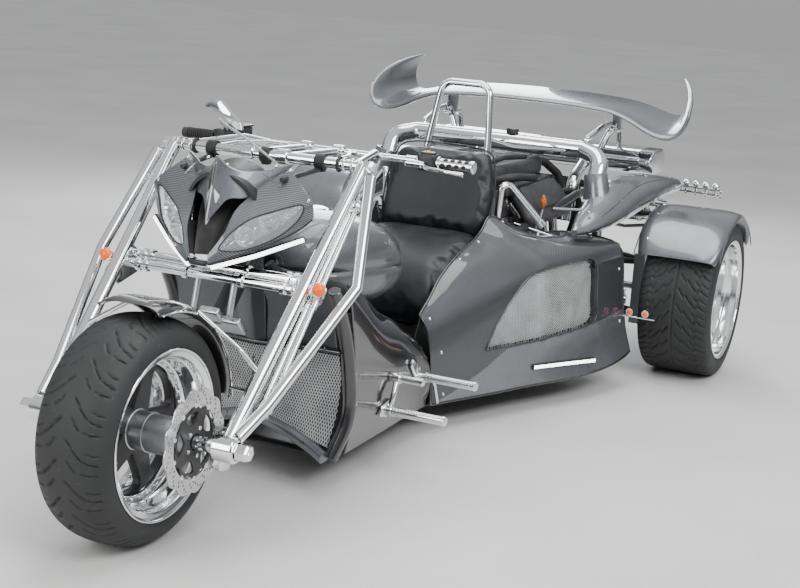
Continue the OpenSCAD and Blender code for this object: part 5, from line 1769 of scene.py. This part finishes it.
b.both(_eng)
b.box((655, 0, 520), (20, 360, 420), None, 8, 2)
for y, z, r in ((0, 380, 88), (-110, 600, 56), (110, 620, 50), (100, 470, 40)):
    b.rev((662, y, z), (1, 0, 0), [(0, 0.1), (0, r), (5, r), (7, r - 6), (18, r - 6), (20, r), (26, r), (27, r * 0.5), (22, r * 0.4), (22, 0.1)], 40)
b.box((380, 0, 188), (420, 280, 26), None, 10, 2)
b.make("engine_castings", "cast_alloy", "chassis", (), 38)
b = B()
b.tube([(700, -60, 700), (716, 60, 740), (650, 150, 800), (560, 230, 812), (440, 262, 800)], 15, 40, n=22)
b.tube([(690, 40, 780), (640, 120, 860), (560, 170, 884), (430, 210, 880)], 11, 40, n=20)
b.tube([(110, 240, 690), (60, 300, 720), (40, 330, 660), (60, 300, 520)], 14, 40, n=20)
b.tube([(110, -240, 690), (60, -300, 720), (40, -330, 660), (60, -300, 520)], 14, 40, n=20)
b.tube([(640, -170, 700), (700, -210, 640), (700, -230, 420), (640, -240, 300)], 13, 50, n=20)
b.tube([(90, 100, 800), (20, 140, 820), (-30, 200, 760), (-40, 240, 640)], 18, 50, n=22)
b.make("engine_hoses", "rubber_black", "chassis", (), 0)
b = B()
b.tube([(560, 330, 560), (556, 338, 650), (550, 344, 702)], 3.5, 40, n=12)
for (a_, c_) in (((560, 390, 706), (470, 470, 700)), ((640, 260, 640), (600, 420, 600)), ((-40, 345, 700), (-40, 470, 720))):
    b.tube([a_, c_], 5, 0, n=12)
    b.bolt(c_, Vector(c_) - Vector(a_), 8, 8, "hex")
b.make("engine_stays", "chrome", "chassis", (), 35)
b = B()
b.rev((550, 344, 696), (0, 0, 1), [(0, 0.1), (0, 6), (14, 7), (22, 12), (34, 13), (44, 10), (50, 5), (50, 0.1)], 24)
b.ball((550, 344, 742), 12, 18, (1, 0.5, 1))
b.make("dipstick_handle", "orange_plastic", "chassis", (), 0)

# ------------------------------------------------------------------ muffler
b = B()
mf = []
for k in range(64):
    a = 2 * math.pi * k / 64
    dx = 60 if math.cos(a) > 0 else -60
    mf.append((dx + 54 * math.cos(a), 54 * math.sin(a)))
secs = []
for y, s_ in ((-550, 0.86), (-546, 0.94), (-538, 1.0), (-500, 1.0), (-496, 1.02), (-484, 1.02), (-480, 1.0), (480, 1.0), (484, 1.02), (496, 1.02), (500, 1.0), (538, 1.0), (546, 0.94), (550, 0.86)):
    secs.append([(-360 + p[0] * s_, y, 822 + p[1] * s_) for p in mf])
vs = [p for s_ in secs for p in s_]; fs = []
for i in range(len(secs) - 1):
    for j in range(64):
        fs.append([i * 64 + j, i * 64 + (j + 1) % 64, (i + 1) * 64 + (j + 1) % 64, (i + 1) * 64 + j])
fs.append(list(range(64))); fs.append(list(range((len(secs) - 1) * 64, len(secs) * 64)))
b.add(vs, fs)
b.both(lambda q: q.tube([(-70, 250, 560), (-90, 250, 730), (-235, 250, 800)], 28, 90, n=36))
b.both(lambda q: q.tube([(-440, 430, 800), (-530, 430, 776)], 32, 0, n=40, cap=False))
b.both(lambda q: q.rev((-530, 430, 776), (0.94, 0, 0.25), [(0, 32), (-2, 30), (0, 27), (40, 27), (41, 0.1)], 40))
b.make("muffler_body", "chrome", "chassis", ("muffler",), 40)

# ------------------------------------------------------------------ wing
b = B()


def _struts(q):
    q.tube([(-150, 345, 880), (-156, 372, 948), (-170, 384, 972)], 14, 20, n=28)
    q.tube([(150, 372, 946), (-20, 385, 985), (-126, 388, 990), (-200, 388, 972)], 12, 30, n=28)
    q.tube([(-220, 388, 975), (-280, 384, 955), (-300, 380, 880)], 13, 36, n=28)
    q.rev((-126, 366, 984), YA, [(0, 0.1), (0, 12), (3, 14), (41, 14), (44, 12), (44, 0.1)], 28)
    q.box((-196, 390, 962), (96, 44, 8), None, 3, 2)
    for dx in (-36, 36):
        q.bolt((-196 + dx, 402, 966), (0, 0, 1), 6, 6, "socket")


b.both(_struts)
b.make("wing_stays", "chrome", "chassis", ("wing_struts",), 40)
b = B()


def _pyl(q):
    secs = []
    for z, x0, x1, w in ((964, -244, -152, 17), (985, -250, -150, 15), (1015, -262, -148, 12), (1048, -282, -140, 12), (1066, -300, -130, 16)):
        s_ = []
        for k in range(28):
            a = 2 * math.pi * k / 28
            s_.append(((x0 + x1) / 2 + (x1 - x0) / 2 * math.copysign(abs(math.cos(a)) ** 0.8, math.cos(a)), 390 + w * math.sin(a), z))
        secs.append(s_)
    loft_closed(q, secs, 20)


b.both(_pyl)
b.make("wing_pylons", "grey_gloss", "chassis", (), 45)
WT = [ # leading edge, trailing edge, thickness
    ((-34, 0, 1064), (-366, 0, 1098), 34), ((-33, 160, 1063), (-366, 160, 1097), 34), ((-30, 320, 1056), (-364, 320, 1090), 34), ((-27, 420, 1044), (-362, 420, 1080), 35),
    ((-23, 500, 1016), (-360, 500, 1064), 37), ((-20, 570, 982), (-361, 565, 1044), 38), ((-18, 630, 962), (-364, 615, 1036), 38), ((-20, 680, 963), (-369, 645, 1052), 37),
    ((-26, 716, 985), (-376, 660, 1084), 35), ((-36, 734, 1022), (-383, 664, 1118), 32), ((-64, 738, 1064), (-388, 658, 1146), 28), ((-130, 728, 1112), (-392, 645, 1168), 24),
    ((-215, 700, 1152), (-394, 632, 1184), 20), ((-300, 664, 1180), (-394, 622, 1194), 13), ((-345, 642, 1190), (-392, 618, 1196), 6)]


def foil(le, te, th, nrm_hint):
    le, te = Vector(le), Vector(te)
    d = te - le; n_ = nrm_hint
    n_ = (n_ - d.normalized() * n_.dot(d.normalized())).normalized()
    out = []
    up = [(0, 0), (0.012, 0.34), (0.05, 0.66), (0.14, 0.92), (0.28, 1.0), (0.46, 0.9), (0.66, 0.62), (0.84, 0.30), (0.97, 0.09), (1.0, 0.03)]
    for t, h in up:
        out.append(tuple(le + d * t + n_ * h * th / 2))
    for t, h in reversed(up[1:]):
        out.append(tuple(le + d * t - n_ * (h * (0.8 - 0.5 * t)) * th / 2))
    return out


half = []
for i, (le, te, th) in enumerate(WT):
    a = WT[max(0, i - 1)]; c_ = WT[min(len(WT) - 1, i + 1)]
    sp = (Vector(c_[0]) + Vector(c_[1])) - (Vector(a[0]) + Vector(a[1]))
    d = Vector(te) - Vector(le)
    nn = sp.cross(d)
    if i == 0 or nn.z < -0.01 and i < 6:
        nn = -nn if nn.z < 0 else nn
    if i and nn.dot(prev) < 0:
        nn = -nn
    prev = nn
    half.append(foil(le, te, th, nn))
full = [[(p[0], -p[1], p[2]) for p in s_] for s_ in reversed(half[1:])] + half
b = B()
loft_closed(b, full, 150)
b.make("wing_blade", "grey_gloss", "chassis", ("rear_wing",), 50)

# ------------------------------------------------------------------ rear fenders
for s, tag in ((1, "left"), (-1, "right")):
    arc_panel("rear_fender_" + tag, (0, s * 835, 328), 366, 176, 33, 147, "grey_gloss", "chassis", ("rear_fenders",) if s == 1 else (), 14, 12, 70, 30, 4)
b = B()


def _rf(q):
    q.tube([(0, 706, 346 + 340), (0, 560, 358 + 330), (0, 400, 348 + 330)], 10, 40, n=20)
    q.tube([(190, 690, 328 + 302), (120, 560, 600), (60, 420, 600)], 8, 40, n=18)
    q.tube([(-190, 690, 328 + 302), (-120, 560, 600), (-60, 420, 600)], 8, 40, n=18)
    for a in (45, 70, 90, 110, 135):
        c_, s_ = math.cos(math.radians(a)), math.sin(math.radians(a))
        q.bolt((362 * c_, 700, 328 + 362 * s_), (c_, 0, s_), 7, 6, "dome")
    q.tube([(-330 * 0.3, 672, 690), (-60, 640, 700), (40, 640, 700)], 6, 20, n=14)


b.both(_rf)
b.make("rear_fender_stays", "chrome", "chassis", (), 35)
b = B()


def _rfe(q):
    for yy in (659.5, 1010):
        pts = [(351 * math.cos(math.radians(a)), yy, 328 + 345 * math.sin(math.radians(a))) for a in range(34, 148, 4)]
        q.tube(pts, 2.6, 0, n=8)


b.both(_rfe)
b.make("rear_fender_beads", "shadow_gloss", "chassis", (), 0)

# ------------------------------------------------------------------ tail: rails, lamps, shocks
b = B()


def _tail(q):
    for z in (700, 722):
        q.tube([(-380, 600, z), (-430, 640, z), (-395, 832, z), (-380, 838, z - 4)], 7, 20, n=18)
    for k in range(4):
        x, y = -424 + k * 9, 672 + k * 46
        q.rev((x, y, 716), (0, 0, 1), [(0, 0.1), (0, 7), (8, 8), (10, 14), (15, 17), (22, 17.5), (30, 14), (36, 8), (38, 0.1)], 28)
        q.rev((x, y, 690), (0, 0, 1), [(0, 0.1), (0, 8), (6, 9), (8, 7), (30, 7)], 20)


b.both(_tail)
b.make("tail_rail_set", "chrome", "chassis", ("tail_rails",), 35)
b = B()
b.tube([(-520, -520, 560), (-520, 520, 560)], 16, 0, n=28)
b.both(lambda q: q.tube([(-520, 300, 560), (-258, 318, 560)], 14, 0, n=24))
b.make("tail_bar", "frame_black", "chassis", (), 35)
b = B()
b.both(lambda q: q.rev((-536, 440, 560), (-1, 0, 0), [(-14, 0.1), (-14, 30), (-10, 40), (6, 46), (14, 47), (16, 45), (16, 41)], 48))
b.make("tail_lamp_rings", "chrome", "chassis", (), 35)
b = B()
prof = [(0, 42)]
for k in range(8):
    r = 41 - k * 5
    prof += [(12 + k * 0.7, r), (14 + k * 0.7, r - 2.5)]
prof += [(20, 0.1)]
b.both(lambda q: q.rev((-540, 440, 560), (-1, 0, 0), prof, 48))
b.make("tail_lamp_lenses", "lens_red", "chassis", ("tail_lights",), 20)
b = B()


def _shock(q):
    a, c_ = Vector((-90, 530, 240)), Vector((-215, 345, 660))
    m_ = Vector((-170, 372, 470))
    q.tube([a, m_], 17, 0, n=28)
    q.tube([m_, c_], 9, 0, n=20)
    d = (m_ - a).normalized()
    x = d.cross(Vector((0, 0, 1))).normalized(); y = d.cross(x)
    L = (m_ - a).length
    pts = []
    for k in range(9 * 14):
        t = k / (9 * 14 - 1); an = 2 * math.pi * 9 * t
        pts.append(a + d * (10 + (L - 14) * t) + (x * math.cos(an) + y * math.sin(an)) * 25)
    q.tube(pts, 4.5, 0, n=8)
    for e in (a, c_):
        q.rev(e - YA * 14, YA, [(0, 0.1), (0, 16), (2, 18), (26, 18), (28, 16), (28, 0.1)], 28)


b.both(_shock)
b.make("shock_set", "chrome", "chassis", ("rear_shocks",), 35)
b = B()


def _lamps(q):
    for y in (700, 765):
        q.rev((404, y, 308), (1, 0, 0), [(0, 0.1), (0, 11), (4, 14), (12, 15), (14, 14), (14, 11)], 28)
    q.box((410, 722, 289), (16, 168, 6), None, 2, 2)
    q.tube([(411, 640, 292), (400, 600, 300)], 7, 0, n=14)


b.both(_lamps)
b.make("marker_bracket", "chrome", "chassis", ("side_lights",), 35)
b = B()
b.both(lambda q: [q.rev((415, y, 308), (1, 0, 0), [(0, 12), (4, 11), (7, 7), (8.5, 0.1)], 28) for y in (700, 765)])
b.make("marker_lenses", "glow_amber", "chassis", (), 0)

# ------------------------------------------------------------------ pieces that keep their CAD shape
for n_ in frame["nodes"]:
    gmat(n_, gmat_keep.get(n_, "black_satin"))

# ------------------------------------------------------------------ thin out the densest pieces
for n_, k_ in (("peg_set", 0.4), ("mask_panel_left", 0.45), ("mask_panel_right", 0.45), ("front_mesh_back", 0.3), ("headlight_lens_left", 0.5),
               ("headlight_lens_right", 0.5), ("exhaust_headers", 0.5), ("seat_hoop_tubes", 0.6), ("tail_rail_set", 0.6)):
    o_ = bpy.data.objects.get(n_)
    if o_ is not None:
        md = o_.modifiers.new("thin", "DECIMATE")
        md.ratio = k_
# ------------------------------------------------------------------ light and floor
def world():
    w = bpy.data.worlds.new("studio"); bpy.context.scene.world = w
    w.use_nodes = True
    t = w.node_tree; t.nodes.clear()
    out = t.nodes.new("ShaderNodeOutputWorld"); bg = t.nodes.new("ShaderNodeBackground")
    co = t.nodes.new("ShaderNodeTexCoord"); sep = t.nodes.new("ShaderNodeSeparateXYZ")
    rp = t.nodes.new("ShaderNodeValToRGB"); mp = t.nodes.new("ShaderNodeMapRange")
    t.links.new(co.outputs["Generated"], sep.inputs[0])
    t.links.new(sep.outputs["Z"], mp.inputs["Value"])
    mp.inputs["From Min"].default_value = -1; mp.inputs["From Max"].default_value = 1
    t.links.new(mp.outputs[0], rp.inputs[0])
    el = rp.color_ramp.elements
    for k, (p, c) in enumerate([(0.0, (0.30, 0.29, 0.28, 1)), (0.485, (0.56, 0.56, 0.56, 1)), (0.53, (0.60, 0.60, 0.60, 1)), (0.56, (0.13, 0.14, 0.15, 1)), (0.64, (0.42, 0.44, 0.47, 1)), (0.78, (0.95, 0.97, 1.0, 1)), (1.0, (1.0, 1.0, 1.0, 1))]):
        e = el[k] if k < 2 else el.new(p)
        e.position = p; e.color = c
    t.links.new(rp.outputs[0], bg.inputs["Color"])
    bg.inputs["Strength"].default_value = 0.72
    t.links.new(bg.outputs[0], out.inputs["Surface"])


world()


def area(name, loc, target, size, power, col=(1, 1, 1)):
    l = bpy.data.lights.new(name, "AREA")
    l.shape = "RECTANGLE"; l.size, l.size_y = size; l.energy = power; l.color = col
    o = bpy.data.objects.new(name, l)
    d = Vector(target) - Vector(loc)
    o.matrix_world = Matrix.Translation(Vector(loc)) @ d.to_track_quat("-Z", "Y").to_matrix().to_4x4()
    bpy.context.scene.collection.objects.link(o)


area("key", (2.5, 4.5, 4.6), (0.2, 0, 0.4), (4.5, 2.2), 300)
area("top", (-0.4, 0.2, 5.2), (-0.2, 0, 0), (5.0, 3.0), 230)
area("rim", (-4.5, -2.0, 2.6), (0, 0, 0.5), (2.0, 3.5), 160, (0.94, 0.97, 1.0))
area("front", (5.0, -1.6, 2.4), (0.8, 0, 0.5), (1.6, 3.0), 120, (1.0, 0.99, 0.97))


def floor():
    t = NT("floor")
    n = t.noise(0.9, 5); n2 = t.noise(60.0, 3)
    m = t.math("ADD", t.math("MULTIPLY", n, 0.7), t.math("MULTIPLY", n2, 0.3))
    t.color(t.ramp(m, [(0.35, (0.60, 0.595, 0.585)), (0.65, (0.70, 0.695, 0.685))]))
    t.rough(t.maprange(n, 0.3, 0.7, 0.55, 0.75))
    t.normal(t.bump(n2, 0.08, 0.002))
    M["floor"] = t.mat
    me = bpy.data.meshes.new("floor")
    k = 14; s = 30.0
    vs = [((i / k - 0.5) * s * 2, (j / k - 0.5) * s * 2, 0) for j in range(k + 1) for i in range(k + 1)]
    fs = [(j * (k + 1) + i, j * (k + 1) + i + 1, (j + 1) * (k + 1) + i + 1, (j + 1) * (k + 1) + i) for j in range(k) for i in range(k)]
    me.from_pydata(vs, [], fs); me.materials.append(t.mat)
    o = bpy.data.objects.new("floor", me)
    bpy.context.scene.collection.objects.link(o)


floor()
